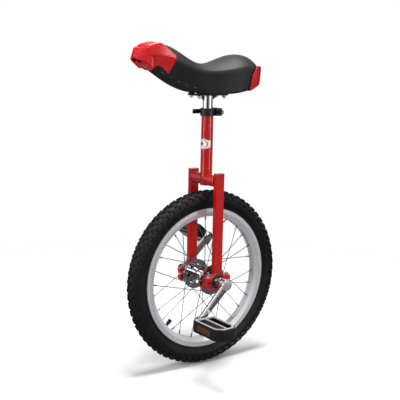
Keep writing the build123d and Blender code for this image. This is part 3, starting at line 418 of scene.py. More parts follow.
def crank_film():
    """Small printed film on each crank: red and white in uneven patches, under gloss laminate."""
    made, tree, shader = surface("crank_film", "#e9e4e2", Coat_Weight=0.8, Coat_Roughness=0.06, Roughness=0.4)
    tint(tree, shader, "#c8262b", "#efe2e0", 6 * MM, 0.46, 0.52)
    grain(tree, shader, 2 * MM, 0.02 * MM, 0.3)
    return made


def waxed_thread():
    """Black bonded thread, a little glossier than the vinyl."""
    made, tree, shader = surface("bonded_thread", "#2b2b2f", Roughness=0.45)
    grain(tree, shader, 0.5 * MM, 0.1 * MM, 0.8)
    return made


def weld_steel():
    """Painted weld bead: the frame's enamel, rippled and a shade deeper."""
    made, tree, shader = surface("painted_weld", settings("paint").enamel, Coat_Weight=1.0, Coat_Roughness=0.1)
    tint(tree, shader, "#a31016", "#c3161c", 4 * MM)
    grain(tree, shader, 1.5 * MM, 0.15 * MM, 0.7)
    vary(tree, shader, "Roughness", 0.28, 0.4, 6 * MM)
    return made


def floor_paper():
    """Matte white seamless paper, lit from behind where it runs off, so that no edge shows."""
    made, tree, shader = surface("seamless_paper", settings("stage").floor, Roughness=0.9,
                                 Specular_IOR_Level=0.1)
    spot = add(tree, "ShaderNodeTexCoord")
    away = add(tree, "ShaderNodeVectorMath", {0: spot.outputs["Object"]}, operation="LENGTH")
    glow = add(tree, "ShaderNodeMapRange", {"Value": away.outputs["Value"], "From Min": 0.35, "From Max": 1.6},
               interpolation_type="SMOOTHSTEP")
    # the lit run-off shows only to the eye; polished parts mirror a dark surround, like a studio's black cards
    ray = add(tree, "ShaderNodeLightPath")
    cover = add(tree, "ShaderNodeMath", {0: glow.outputs["Result"], 1: ray.outputs["Is Glossy Ray"]},
                operation="MAXIMUM")
    power = add(tree, "ShaderNodeMapRange", {"Value": ray.outputs["Is Camera Ray"],
                                             "To Min": 0.10, "To Max": 1.0})
    light = add(tree, "ShaderNodeEmission", {"Strength": power.outputs["Result"]})
    mix = add(tree, "ShaderNodeMixShader", {0: cover.outputs[0], 1: shader.outputs[0], 2: light.outputs[0]})
    tree.links.new(mix.outputs[0], tree.nodes["Material Output"].inputs["Surface"])
    return made


MADE = {}


def finish(maker):
    """The material of a maker function, made once."""
    if maker.__name__ not in MADE:
        MADE[maker.__name__] = maker()
    return MADE[maker.__name__]


# ------------------------------------------------------------ mesh helpers

def made_mesh(name, work):
    """A mesh from a bmesh, which is freed."""
    mesh = bpy.data.meshes.new(name)
    work.to_mesh(mesh)
    work.free()
    return mesh


def place(name, mesh, maker, body, replaced=(), smooth=True):
    """Puts a finished mesh in the scene as a piece that rides on a body."""
    piece = bpy.data.objects.new(name, mesh)
    bpy.context.scene.collection.objects.link(piece)
    mesh.materials.clear()
    mesh.materials.append(finish(maker))
    mesh.shade_smooth() if smooth else mesh.shade_flat()
    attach(piece, body)
    if replaced:
        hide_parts(*replaced)
    return piece


def bake(piece):
    """The piece's evaluated shape as a plain mesh, with its modifiers removed."""
    graph = bpy.context.evaluated_depsgraph_get()
    mesh = bpy.data.meshes.new_from_object(piece.evaluated_get(graph), depsgraph=graph)
    piece.modifiers.clear()
    old = piece.data
    piece.data = mesh
    bpy.data.meshes.remove(old)
    return mesh


def loose_object(name, mesh):
    """An object made only to run modifiers on."""
    piece = bpy.data.objects.new(name, mesh)
    bpy.context.scene.collection.objects.link(piece)
    return piece


def drop_object(piece):
    """Removes a working object and keeps its mesh."""
    bpy.data.objects.remove(piece)


def merged(*names):
    """One welded mesh copied from CAD nodes."""
    work = bmesh.new()
    for name in names:
        work.from_mesh(NODES[name].data)
    bmesh.ops.remove_doubles(work, verts=work.verts, dist=0.002 * MM)
    return made_mesh("_".join(names), work)


def softened(name, voxel, rounds, *nodes):
    """A CAD shape with the small radii of a casting or moulding: remeshed, then relaxed."""
    piece = loose_object(name, merged(*nodes))
    grid = piece.modifiers.new("grid", "REMESH")
    grid.mode = "VOXEL"
    grid.voxel_size = voxel
    relax = piece.modifiers.new("relax", "SMOOTH")
    relax.factor = 0.5
    relax.iterations = rounds
    mesh = bake(piece)
    drop_object(piece)
    mesh.name = name
    return mesh


def lathe(name, profile, steps, height=AXLE_HEIGHT):
    """Closed mesh turned about the axle; the profile's points are (y, radius) and close on themselves."""
    work = bmesh.new()
    rings = []
    for step in range(steps):
        angle = tau * step / steps
        rings.append([work.verts.new((r * sin(angle), y, height + r * cos(angle))) for y, r in profile])
    count = len(profile)
    for step in range(steps):
        here, there = rings[step], rings[(step + 1) % steps]
        for index in range(count):
            after = (index + 1) % count
            work.faces.new((here[index], here[after], there[after], there[index]))
    bmesh.ops.recalc_face_normals(work, faces=work.faces)
    return made_mesh(name, work)


# ------------------------------------------------------------ geometry nodes

def new_tree(name, sockets):
    """Empty geometry node tree with the given inputs: name to (socket type, default)."""
    tree = bpy.data.node_groups.new(name, "GeometryNodeTree")
    tree.interface.new_socket("Geometry", in_out="INPUT", socket_type="NodeSocketGeometry")
    tree.interface.new_socket("Geometry", in_out="OUTPUT", socket_type="NodeSocketGeometry")
    for label, (kind, default) in sockets.items():
        socket = tree.interface.new_socket(label, in_out="INPUT", socket_type=kind)
        if default is not None:
            socket.default_value = default
    return tree


def run_tree(tree, mesh, values):
    """Runs a tree on a mesh with the named inputs and gives the result as a plain mesh."""
    piece = loose_object(tree.name, mesh)
    modifier = piece.modifiers.new(tree.name, "NODES")
    modifier.node_group = tree
    for item in tree.interface.items_tree:
        if item.in_out == "INPUT" and item.name in values:
            modifier[item.identifier] = values[item.name]
    result = bake(piece)
    drop_object(piece)
    return result


def copy_units(tree, inlet, points, turn, shift):
    """Last half of a tree: the unit set on points, turned, shifted, made real and given its material."""
    source = add(tree, "GeometryNodeObjectInfo", {"Object": inlet.outputs["Unit"]})
    copies = add(tree, "GeometryNodeInstanceOnPoints", {"Points": points, "Rotation": turn,
                                                        "Instance": source.outputs["Geometry"]})
    shifted = add(tree, "GeometryNodeTransform", {"Geometry": copies.outputs[0], "Translation": shift})
    real = add(tree, "GeometryNodeRealizeInstances", {"Geometry": shifted.outputs[0]})
    paint = add(tree, "GeometryNodeSetMaterial", {"Geometry": real.outputs[0],
                                                  "Material": inlet.outputs["Material"]})
    add(tree, "NodeGroupOutput", {"Geometry": paint.outputs[0]})


def around_tree(name, count, unit, maker):
    """Copies of a unit mesh turned about the axle's line, evenly spaced."""
    tree = new_tree(name, {"Count": ("NodeSocketInt", count), "Unit": ("NodeSocketObject", None),
                           "Height": ("NodeSocketFloat", AXLE_HEIGHT),
                           "Material": ("NodeSocketMaterial", None)})
    inlet = add(tree, "NodeGroupInput")
    line = add(tree, "GeometryNodeMeshLine", {"Count": inlet.outputs["Count"], "Offset": (0, 0, 0)})
    index = add(tree, "GeometryNodeInputIndex")
    part = add(tree, "ShaderNodeMath", {0: index.outputs[0], 1: inlet.outputs["Count"]}, operation="DIVIDE")
    angle = add(tree, "ShaderNodeMath", {0: part.outputs[0], 1: tau}, operation="MULTIPLY")
    turn = add(tree, "ShaderNodeCombineXYZ", {"Y": angle.outputs[0]})
    rise = add(tree, "ShaderNodeCombineXYZ", {"Z": inlet.outputs["Height"]})
    copy_units(tree, inlet, line.outputs["Mesh"], turn.outputs[0], rise.outputs[0])
    source = loose_object(name + "_unit", unit)
    mesh = run_tree(tree, bpy.data.meshes.new(name), {"Count": count, "Unit": source,
                                                      "Material": finish(maker)})
    drop_object(source)
    return mesh


def along_tree(name, points, pitch, unit, maker):
    """Copies of a unit mesh laid along a path, with the unit's X along the path and its Z along the normal."""
    tree = new_tree(name, {"Pitch": ("NodeSocketFloat", pitch), "Unit": ("NodeSocketObject", None),
                           "Material": ("NodeSocketMaterial", None)})
    inlet = add(tree, "NodeGroupInput")
    curve = add(tree, "GeometryNodeMeshToCurve", {"Mesh": inlet.outputs["Geometry"]})
    spots = add(tree, "GeometryNodeCurveToPoints", {"Curve": curve.outputs[0],
                                                    "Length": inlet.outputs["Pitch"]}, mode="LENGTH")
    lean = add(tree, "GeometryNodeInputNamedAttribute", {"Name": "lean"}, data_type="FLOAT_VECTOR")
    first = add(tree, "FunctionNodeAlignRotationToVector", {"Vector": spots.outputs["Tangent"]}, axis="X")
    second = add(tree, "FunctionNodeAlignRotationToVector", {"Rotation": first.outputs[0],
                                                            "Vector": lean.outputs["Attribute"]},
                 axis="Z", pivot_axis="X")
    copy_units(tree, inlet, spots.outputs["Points"], second.outputs[0], (0, 0, 0))
    path = bpy.data.meshes.new(name)
    path.from_pydata([p for p, n in points], [(i, i + 1) for i in range(len(points) - 1)], [])
    lean_values = path.attributes.new("lean", "FLOAT_VECTOR", "POINT")
    lean_values.data.foreach_set("vector", [c for p, n in points for c in n])
    source = loose_object(name + "_unit", unit)
    mesh = run_tree(tree, path, {"Pitch": pitch, "Unit": source, "Material": finish(maker)})
    drop_object(source)
    return mesh


def pill(name, long, wide, high):
    """Small rounded block, long in X, for stitches, staples and beads."""
    work = bmesh.new()
    bmesh.ops.create_icosphere(work, subdivisions=1, radius=0.5)
    for vert in work.verts:
        vert.co = Vector((vert.co.x * long, vert.co.y * wide, vert.co.z * high))
    mesh = made_mesh(name, work)
    mesh.shade_smooth()
    return mesh


# ------------------------------------------------------------ tyre

def section_point(lean, reach, turn):
    """Point of the tyre at an angle across its section and an angle round the wheel, about the axle."""
    middle_radius = TYRE_RADIUS - TYRE_SECTION
    y = reach * sin(lean)
    r = middle_radius + reach * cos(lean)
    return Vector((r * sin(turn), y, r * cos(turn)))


def tread_block(work, lean, width, turn, long, low, high, skew=0.0):
    """One rubber block: its sides taper towards the top and its edges are eased."""
    verts = []
    for reach, shrink in ((low, 1.12), (high, 0.84)):
        for a, t in ((-1, -1), (1, -1), (1, 1), (-1, 1)):
            verts.append(work.verts.new(section_point(lean + a * width / 2 * shrink, reach,
                                                      turn + t * long / 2 * shrink + a * skew)))
    faces = [(3, 2, 1, 0), (4, 5, 6, 7), (0, 1, 5, 4), (1, 2, 6, 5), (2, 3, 7, 6), (3, 0, 4, 7)]
    made = [work.faces.new([verts[i] for i in face]) for face in faces]
    edges = {edge for face in made[1:] for edge in face.edges if all(v in verts[4:] for v in edge.verts)}
    bmesh.ops.bevel(work, geom=list(edges), offset=0.5 * MM, segments=2, affect="EDGES")


def tread_pitch(pitches, height):
    """One pitch of the tread: staggered centre blocks, side blocks and big shoulder blocks."""
    work = bmesh.new()
    step = tau / pitches
    top = TYRE_SECTION
    low = TYRE_SECTION - height - 0.6 * MM
    for side in (-1, 1):
        shift = step * 0.25 * side
        tread_block(work, side * radians(12), radians(17), shift, step * 0.44, low, top, side * 0.002)
        tread_block(work, side * radians(36), radians(18), shift + step * 0.5, step * 0.44, low, top)
        tread_block(work, side * radians(63), radians(25), shift, step * 0.56, low, top)
        tread_block(work, side * radians(86), radians(13), shift + step * 0.5, step * 0.30, low, top - 3.0 * MM)
    bmesh.ops.recalc_face_normals(work, faces=work.faces)
    return made_mesh("tread_pitch", work)


def casing_profile(height):
    """Section of the tyre's casing, from bead to bead outside and back inside, as (y, radius)."""
    middle_radius = TYRE_RADIUS - TYRE_SECTION
    outer = TYRE_SECTION - height
    bead_y = span("rim_tape").y / 2 + 3.6 * MM
    bead_r = span("rim_tape").x / 2 - 0.6 * MM
    points = [(bead_y, bead_r), (bead_y + 0.3 * MM, bead_r + 6 * MM)]
    steps = 46
    for step in range(steps + 1):
        lean = radians(138) - radians(276) * step / steps
        ribs = 0.35 * MM * max(0, sin(lean * 26)) * (1 if abs(lean) > radians(84) else 0)
        rise = (0.5 if abs(abs(lean) - radians(82)) < radians(3) else 0) * MM
        points.append(((outer + ribs + rise) * sin(lean), middle_radius + (outer + ribs + rise) * cos(lean)))
    points += [(-bead_y - 0.3 * MM, bead_r + 6 * MM), (-bead_y, bead_r)]
    points += [(-bead_y + 3.2 * MM, bead_r), (-bead_y + 3.0 * MM, bead_r + 8 * MM)]
    inner = outer - 2.4 * MM
    for step in range(17):
        lean = radians(-132) + radians(264) * step / 16
        points.append((inner * sin(lean), middle_radius + inner * cos(lean)))
    points += [(bead_y - 3.0 * MM, bead_r + 8 * MM), (bead_y - 3.2 * MM, bead_r)]
    return points


class UNICYCLE_OT_tyre(bpy.types.Operator):
    """Casing with ribbed sidewalls, and the knobbed tread set round it"""
    bl_idname = "unicycle.tyre"
    bl_label = "Tyre"

    def execute(self, context):
        sizes = settings("tyre")
        casing = lathe("tyre_casing", casing_profile(sizes.knob_height), 160)
        place("tyre_casing", casing, tyre_rubber, "wheel", ("tyre",))
        pitch = tread_pitch(sizes.pitches, sizes.knob_height)
        knobs = around_tree("tyre_tread", sizes.pitches, pitch, tyre_rubber)
        place("tyre_tread", knobs, tyre_rubber, "wheel", smooth=False)
        return {"FINISHED"}


# ------------------------------------------------------------ saddle

SEAM_LINE = ((-150, 748), (-127, 764), (-104, 770), (-70, 768), (-30, 760), (15, 756), (50, 758), (95, 774),
             (145, 790), (199, 791), (215, 790))


# how far the cover's crown shows inside the front bumper's rear edge
BARE_CROWN = 44 * MM
# the most that the foam may push the cover out
FILL_LIMIT = 2.2 * MM


def smooth_through(value, points):
    """Value of a smooth curve through (position, height) points."""
    index = max(1, min(len(points) - 3, sum(1 for x, _ in points if x <= value) - 1))
    (xa, ya), (xb, yb), (xc, yc), (xd, yd) = points[index - 1:index + 3]
    share = (value - xb) / (xc - xb)
    leave = (yc - ya) / (xc - xa) * (xc - xb)
    reach = (yd - yb) / (xd - xb) * (xc - xb)
    return ((2 * share ** 3 - 3 * share ** 2 + 1) * yb + (share ** 3 - 2 * share ** 2 + share) * leave
            + (3 * share ** 2 - 2 * share ** 3) * yc + (share ** 3 - share ** 2) * reach)


def cover_seam_height(x):
    """Height of the seam between the top panel and the side band."""
    return smooth_through(x / MM, SEAM_LINE) * MM


def seat_surface():
    """Search tree over the CAD saddle's skin."""
    mesh = merged("saddle_cover")
    tree = BVHTree.FromPolygons([v.co for v in mesh.vertices], [p.vertices for p in mesh.polygons])
    bpy.data.meshes.remove(mesh)
    return tree


def cover_ring(tree, x, side_rows, top_rows):
    """Points across the left half of the saddle at one station, from the lower edge over to the crest."""
    seam = cover_seam_height(x)
    low = tree.ray_cast(Vector((x, 0.3, seam)), Vector((0, -1, 0)))[0]
    edge = low.copy()
    drop = 0.0
    step = 0.75 * MM
    while True:
        hit = tree.ray_cast(Vector((x, 0.3, seam - drop - step)), Vector((0, -1, 0)))[0]
        if hit is None or hit.y < 0 or drop > 0.12:
            break
        edge = hit
        drop += step
    ring = []
    for row in range(side_rows):
        z = edge.z + (seam - edge.z) * row / side_rows
        hit = tree.ray_cast(Vector((x, 0.3, z)), Vector((0, -1, 0)))[0]
        ring.append(hit or edge)
    centre = Vector((x, 0, seam - 24 * MM))
    start = atan2(low.y, low.z - centre.z)
    for row in range(top_rows + 1):
        angle = start * (1 - row / top_rows)
        way = Vector((0, sin(angle), cos(angle)))
        hit = tree.ray_cast(centre + way * 0.2, -way)[0]
        ring.append(hit or low)
    # one even arch from seam to crest; under the front bumper's crown the cover keeps the CAD shape
    share = max(0.0, min(1.0, (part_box("front_bumper")[0].x + BARE_CROWN - 10 * MM - x) / (14 * MM)))
    crest, foot = ring[-1], ring[side_rows].copy()
    for row in range(top_rows + 1):
        wide = 1 - row / top_rows
        arch = Vector((x, foot.y * wide, foot.z + (crest.z - foot.z) * (1 - wide ** 2.2)))
        ring[side_rows + row] = ring[side_rows + row].lerp(arch, share)
    return ring


def seat_grid(stations, side_rows, top_rows):
    """Rings of points over the whole saddle, from tail to nose; each ring runs from left edge to right edge."""
    tree = seat_surface()
    low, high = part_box("saddle_cover")
    rings = []
    for index in range(stations + 1):
        share = index / stations
        x = low.x + 0.4 * MM + (high.x - low.x - 0.8 * MM) * share
        half = cover_ring(tree, x, side_rows, top_rows)
        rings.append(half + [Vector((p.x, -p.y, p.z)) for p in reversed(half[:-1])])
    return rings


def evened(rings, rounds):
    """Rings made to run on smoothly from one to the next, each kept at its own station; the end rings stay."""
    for _ in range(rounds):
        middle_rings = []
        for before, here, after in zip(rings, rings[1:], rings[2:]):
            ring = [(a + b * 2 + c) / 4 for a, b, c in zip(before, here, after)]
            middle_rings.append([Vector((b.x, p.y, p.z)) for p, b in zip(ring, here)])
        rings = [rings[0]] + middle_rings + [rings[-1]]
    return rings


def fill_cover(mesh, rings, seam_rows, pressure):
    """Foam pushes the panels out between their seams, which are held; the ends under the bumpers stay."""
    piece = loose_object("cover_fill", mesh)
    held = piece.vertex_groups.new(name="held")
    width = len(rings[0])
    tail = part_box("rear_bumper")[1].x
    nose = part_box("front_bumper")[0].x
    for index in range(len(mesh.vertices)):
        ring, row = divmod(index, width)
        x = rings[ring][0].x
        weight = 1.0 if row in (0, width - 1) or row in seam_rows or not tail < x < nose else 0.0
        if weight:
            held.add([index], weight, "REPLACE")
    cloth = piece.modifiers.new("fill", "CLOTH")
    cloth.settings.quality = 6
    cloth.settings.mass = 0.4
    cloth.settings.tension_stiffness = 40
    cloth.settings.compression_stiffness = 40
    cloth.settings.bending_stiffness = 4
    cloth.settings.vertex_group_mass = "held"
    cloth.settings.use_pressure = True
    cloth.settings.uniform_pressure_force = pressure
    cloth.settings.effector_weights.gravity = 0
    cloth.point_cache.frame_end = 20
    for moment in range(1, 21):
        bpy.context.scene.frame_set(moment)
    result = bake(piece)
    drop_object(piece)
    bpy.context.scene.frame_set(1)
    return result


def ring_mesh(name, rings):
    """Mesh through rings of points, each ring a row of the surface."""
    width = len(rings[0])
    verts = [p for ring in rings for p in ring]
    faces = []
    for ring in range(len(rings) - 1):
        for row in range(width - 1):
            a = ring * width + row
            faces.append((a, a + width, a + width + 1, a + 1))
    mesh = bpy.data.meshes.new(name)
    mesh.from_pydata(verts, [], faces)
    return mesh


class UNICYCLE_OT_saddle(bpy.types.Operator):
    """Vinyl cover filled by its foam, with a sewn seam, stitches and the stapled lower edge"""
    bl_idname = "unicycle.saddle"
    bl_label = "Saddle"

    def execute(self, context):
        sizes = settings("saddle")
        side_rows, top_rows = 12, 26
        rings = evened(seat_grid(sizes.stations, side_rows, top_rows), 60)
        width = len(rings[0])
        seam_rows = (side_rows, width - 1 - side_rows)
        flat = ring_mesh("cover", rings)
        start = [v.co.copy() for v in flat.vertices]
        filled = fill_cover(flat.copy(), rings, seam_rows, sizes.pressure)
        points = []
        for rest, vert in zip(start, filled.vertices):
            move = vert.co - rest
            points.append(rest + move.normalized() * min(move.length, FILL_LIMIT))
        normals = [v.normal.copy() for v in flat.vertices]
        sign = 1 if normals[(len(rings) // 2) * width + width // 2].z > 0 else -1
        for index in range(len(points)):
            row = index % width
            away = min(abs(row - seam_rows[0]), abs(row - seam_rows[1]))
            dip = {0: 1.1, 1: -0.35}.get(away, 0.0) * MM
            points[index] = points[index] - normals[index] * sign * dip
        shaped = [points[i * width:(i + 1) * width] for i in range(len(rings))]
        self.cover(shaped, sizes)
        self.stitches(shaped, normals, sign, seam_rows, sizes)
        self.staples(shaped, normals, sign)
        self.padding(rings)
        return {"FINISHED"}

    def cover(self, rings, sizes):
        """The skin itself, turned in under the base, with its thickness."""
        turned = []
        for ring in rings:
            inward = Vector((0, -1, 0)) * 3 * MM
            under = ring[0] + Vector((0, -2.2 * MM, -0.5 * MM))
            fold = under + inward * 2
            turned.append([fold, under] + ring + [Vector((under.x, -under.y, under.z)),
                                                 Vector((fold.x, -fold.y, fold.z))])
        piece = loose_object("saddle_cover_skin", ring_mesh("saddle_cover_skin", turned))
        work = bmesh.new()
        work.from_mesh(piece.data)
        bmesh.ops.recalc_face_normals(work, faces=work.faces)
        crest = max(work.faces, key=lambda face: face.calc_center_median().z)
        if crest.normal.z < 0:
            bmesh.ops.reverse_faces(work, faces=work.faces)
        work.to_mesh(piece.data)
        work.free()
        smooth = piece.modifiers.new("round", "SUBSURF")
        smooth.levels = smooth.render_levels = 1
        skin = piece.modifiers.new("skin", "SOLIDIFY")
        skin.thickness = sizes.skin
        skin.offset = -1
        mesh = bake(piece)
        drop_object(piece)
        made = place("saddle_cover_skin", mesh, grained_vinyl, "seat", ("saddle_cover",))

    def stitches(self, rings, normals, sign, seam_rows, sizes):
        """Two rows of stitches, one each side of the seam, on both flanks."""
        width = len(rings[0])
        unit = pill("stitch", 3.2 * MM, 0.9 * MM, 0.7 * MM)
        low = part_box("rear_bumper")[1].x + 4 * MM
        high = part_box("front_bumper")[0].x - 4 * MM
        joined = bmesh.new()
        for seam in seam_rows:
            for step in (-2, 2):
                path = []
                for index, ring in enumerate(rings):
                    if low < ring[0].x < high:
                        out = normals[index * width + seam + step] * sign
                        path.append((ring[seam + step] + out * 0.15 * MM, out))
                row = along_tree("seam_stitches", path, sizes.stitch_pitch, unit.copy(), waxed_thread)
                joined.from_mesh(row)
        place("seam_stitches", made_mesh("seam_stitches", joined), waxed_thread, "seat")

    def staples(self, rings, normals, sign):
        """Wire staples that hold the cover's lower edge to the base, in the front half."""
        width = len(rings[0])
        unit = pill("staple", 9 * MM, 1.3 * MM, 0.9 * MM)
        joined = bmesh.new()
        for row in (2, width - 3):
            outward = [normals[index * width + row] * sign for index in range(len(rings))]
            path = [(ring[row] + out * 0.3 * MM, out)
                    for ring, out in zip(rings, outward) if 60 * MM < ring[0].x < 150 * MM]
            joined.from_mesh(along_tree("staples", path, 22 * MM, unit.copy(), zinc_plate))
        place("cover_staples", made_mesh("cover_staples", joined), zinc_plate, "seat")

    def padding(self, rings):
        """Foam block under the cover, closed below."""
        inset = 3.6 * MM
        width = len(rings[0])
        base = ring_mesh("foam", rings)
        normals = [v.normal.copy() for v in base.vertices]
        sign = 1 if normals[(len(rings) // 2) * width + width // 2].z > 0 else -1
        shrunk = []
        for index, ring in enumerate(rings[2:-2]):
            row = [p - normals[(index + 2) * width + k] * sign * inset for k, p in enumerate(ring)]
            lift = 6 * MM
            for end in (0, 1, -1, -2):
                row[end] = Vector((row[end].x, row[end].y, max(row[end].z, ring[end].z + lift)))
            shrunk.append(row)
        work = bmesh.new()
        grid = [[work.verts.new(p) for p in ring] for ring in shrunk]
        for here, there in zip(grid, grid[1:]):
            for k in range(width):
                after = (k + 1) % width
                work.faces.new((here[k], here[after], there[after], there[k]))
        work.faces.new(list(reversed(grid[0])))
        work.faces.new(grid[-1])
        bmesh.ops.recalc_face_normals(work, faces=work.faces)
        mesh = made_mesh("saddle_padding", work)
        made = place("saddle_padding", mesh, open_foam, "seat", ("saddle_foam",))


def trim(mesh, point, normal):
    """Cuts away what lies beyond a plane and closes the cut."""
    work = bmesh.new()
    work.from_mesh(mesh)
    parts = work.verts[:] + work.edges[:] + work.faces[:]
    bmesh.ops.bisect_plane(work, geom=parts, plane_co=point, plane_no=normal, clear_outer=True)
    rim = [edge for edge in work.edges if edge.is_boundary]
    bmesh.ops.triangle_fill(work, edges=rim, normal=normal)
    bmesh.ops.recalc_face_normals(work, faces=work.faces)
    work.to_mesh(mesh)
    work.free()


class UNICYCLE_OT_bumpers(bpy.types.Operator):
    """Moulded nose and tail bumpers with soft edges"""
    bl_idname = "unicycle.bumpers"
    bl_label = "Bumpers"

    def execute(self, context):
        for node in ("front_bumper", "rear_bumper"):
            mesh = softened(node + "_moulding", 1.3 * MM, 10, node)
            low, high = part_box(node)
            if node == "front_bumper":
                self.rake(mesh)
                trim(mesh, Vector((low.x + BARE_CROWN, 0, high.z - 3 * MM)), Vector((-32, 0, 44)).normalized())
            else:
                trim(mesh, Vector((0, 0, high.z - 8 * MM)), Vector((0, 0, 1)))
            place(node + "_moulding", mesh, red_plastic, "seat", (node,))
        return {"FINISHED"}

    def rake(self, mesh):
        """Leans the nose's front face back towards its top edge."""
        low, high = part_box("front_bumper")
        start = low.x + (high.x - low.x) * 0.72
        foot = low.z + (high.z - low.z) * 0.4
        for vert in mesh.vertices:
            ahead = max(0.0, (vert.co.x - start) / (high.x - start))
            above = max(0.0, (vert.co.z - foot) / (high.z - foot))
            vert.co.x -= 18 * MM * ahead * above
            vert.co.z -= 6 * MM * ahead * above


# ------------------------------------------------------------ frame, hub, cranks and pedals

def loft_rings(work, rings):
    """Skins closed rings of equal length and closes both ends."""
    made = [[work.verts.new(point) for point in ring] for ring in rings]
    count = len(made[0])
    for here, there in zip(made, made[1:]):
        for index in range(count):
            after = (index + 1) % count
            work.faces.new((here[index], here[after], there[after], there[index]))
    work.faces.new(list(reversed(made[0])))
    work.faces.new(made[-1])


CRANK_FACETS = ((1.0, 0.0), (1.0, 0.55), (0.45, 1.0), (-0.45, 1.0), (-1.0, 0.55), (-1.0, 0.0), (-0.8, -0.9),
                (0.8, -0.9))


def crank_arm(side):
    """Arm of a crank between its two ends: a forged bar with a flat ridge between two long bevels."""
    axle = Vector((0, 0, AXLE_HEIGHT))
    hole = middle(f"pedal_bushes_{side}")
    reach = Vector((hole.x, 0, hole.z - AXLE_HEIGHT))
    along = reach.normalized()
    wide = Vector((-along.z, 0, along.x))
    sign = 1 if side == "left" else -1
    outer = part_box(f"crank_{side}")[1].y if sign > 0 else -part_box(f"crank_{side}")[0].y
    rings = []
    for share in (0.06, 0.12, 0.2, 0.35, 0.5, 0.65, 0.8, 0.9, 0.94):
        half = (11.2 - 2.8 * share) * MM
        deep = (6.6 - 1.0 * share) * MM
        centre = axle + reach * share + Vector((0, sign * (outer - 0.3 * MM - deep), 0))
        rings.append([centre + wide * (a * half) + Vector((0, sign * b * deep, 0)) for a, b in CRANK_FACETS])
    work = bmesh.new()
    loft_rings(work, rings)
    bmesh.ops.recalc_face_normals(work, faces=work.faces)
    edges = [edge for edge in work.edges if edge.calc_face_angle(0) > radians(20)]
    bmesh.ops.bevel(work, geom=edges, offset=0.9 * MM, segments=3, affect="EDGES", clamp_overlap=True)
    return work


def eye_ring(work, centre, radius, near, far, edge, steps=64):
    """Round boss with eased edges about a line along Y."""
    ease = edge if far > near else -edge
    profile = [(radius - edge, near), (radius - edge * 0.3, near + ease * 0.3), (radius, near + ease),
               (radius, far - ease), (radius - edge * 0.3, far - ease * 0.3), (radius - edge, far)]
    rings = []
    for r, y in profile:
        rings.append([Vector((centre.x + r * cos(tau * k / steps), y, centre.z + r * sin(tau * k / steps)))
                      for k in range(steps)])
    loft_rings(work, rings)


class UNICYCLE_OT_cranks(bpy.types.Operator):
    """Chromed crank forgings with their bosses, pedal eyes and round stickers"""
    bl_idname = "unicycle.cranks"
    bl_label = "Cranks"

    def execute(self, context):
        for side, sign in (("left", 1), ("right", -1)):
            low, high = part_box(f"crank_{side}")
            inner, outer = (low.y, high.y) if sign > 0 else (high.y, low.y)
            work = crank_arm(side)
            eye = middle(f"pedal_bushes_{side}")
            axle = Vector((0, 0, AXLE_HEIGHT))
            eye_ring(work, axle, 14.2 * MM, inner, outer - sign * 2.5 * MM, 1.6 * MM)
            eye_ring(work, Vector((eye.x, 0, eye.z)), 12.4 * MM, outer - sign * 13 * MM, outer, 1.6 * MM)
            bmesh.ops.recalc_face_normals(work, faces=work.faces)
            mesh = made_mesh(f"crank_{side}_forging", work)
            made = place(f"crank_{side}_forging", mesh, chrome, "wheel", (f"crank_{side}",))
            made.data.set_sharp_from_angle(angle=radians(32))
            self.sticker(side, sign, axle, eye, outer)
        caps = bmesh.new()
        for sign in (-1, 1):
            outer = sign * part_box("crank_dust_caps")[1].y
            eye_ring(caps, axle, 13.4 * MM, outer - sign * 3 * MM, outer, 0.7 * MM)
        bmesh.ops.recalc_face_normals(caps, faces=caps.faces)
        place("dust_caps", made_mesh("dust_caps", caps), satin_aluminium, "wheel",
              ("crank_dust_caps",))
        return {"FINISHED"}

    def sticker(self, side, sign, axle, eye, outer):
        """Thin round film on the arm's ridge, near the pedal."""
        centre = axle.lerp(Vector((eye.x, 0, eye.z)), 0.72)
        work = bmesh.new()
        eye_ring(work, centre, 5.2 * MM, outer - sign * 0.4 * MM, outer + sign * 0.15 * MM, 0.05 * MM, 40)
        bmesh.ops.recalc_face_normals(work, faces=work.faces)
        place(f"crank_{side}_sticker", made_mesh(f"crank_{side}_sticker", work), crank_film, "wheel")


def cut_plate(name, outlines, thick, edge):
    """Flat plate with holes, from closed outlines in the XY plane, with rounded edges."""
    curve = bpy.data.curves.new(name, "CURVE")
    curve.dimensions = "2D"
    curve.fill_mode = "BOTH"
    curve.extrude = thick / 2 - edge
    curve.bevel_depth = edge
    curve.bevel_resolution = 2
    curve.offset = -edge
    for outline in outlines:
        spline = curve.splines.new("POLY")
        spline.points.add(len(outline) - 1)
        spline.use_cyclic_u = True
        for point, (x, y) in zip(spline.points, outline):
            point.co = (x, y, 0, 1)
    piece = loose_object(name, curve)
    graph = bpy.context.evaluated_depsgraph_get()
    mesh = bpy.data.meshes.new_from_object(piece.evaluated_get(graph), depsgraph=graph)
    bpy.data.objects.remove(piece)
    bpy.data.curves.remove(curve)
    return mesh


def eased_corners(corners, radius, steps=4):
    """Closed outline with each corner turned into a short curve."""
    outline = []
    for index, corner in enumerate(corners):
        before, after = Vector(corners[index - 1]), Vector(corners[(index + 1) % len(corners)])
        here = Vector(corner)
        start = here + (before - here).normalized() * radius
        end = here + (after - here).normalized() * radius
        for step in range(steps + 1):
            share = step / steps
            outline.append(tuple(start * (1 - share) ** 2 + here * 2 * share * (1 - share) + end * share ** 2))
    return outline


def rectangle(half_x, half_y):
    return [(-half_x, -half_y), (half_x, -half_y), (half_x, half_y), (-half_x, half_y)]


def pedal_corners(inner, outer, half, sign, inset):
    """Corners of a pedal: square towards the crank, with cut corners at the outer end."""
    wide, corner = half - inset, 16 * MM
    near, far = inner + sign * inset, outer - sign * inset
    return [(-wide, near), (wide, near), (wide, far - sign * corner), (wide - corner, far),
            (-wide + corner, far), (-wide, far - sign * corner)]


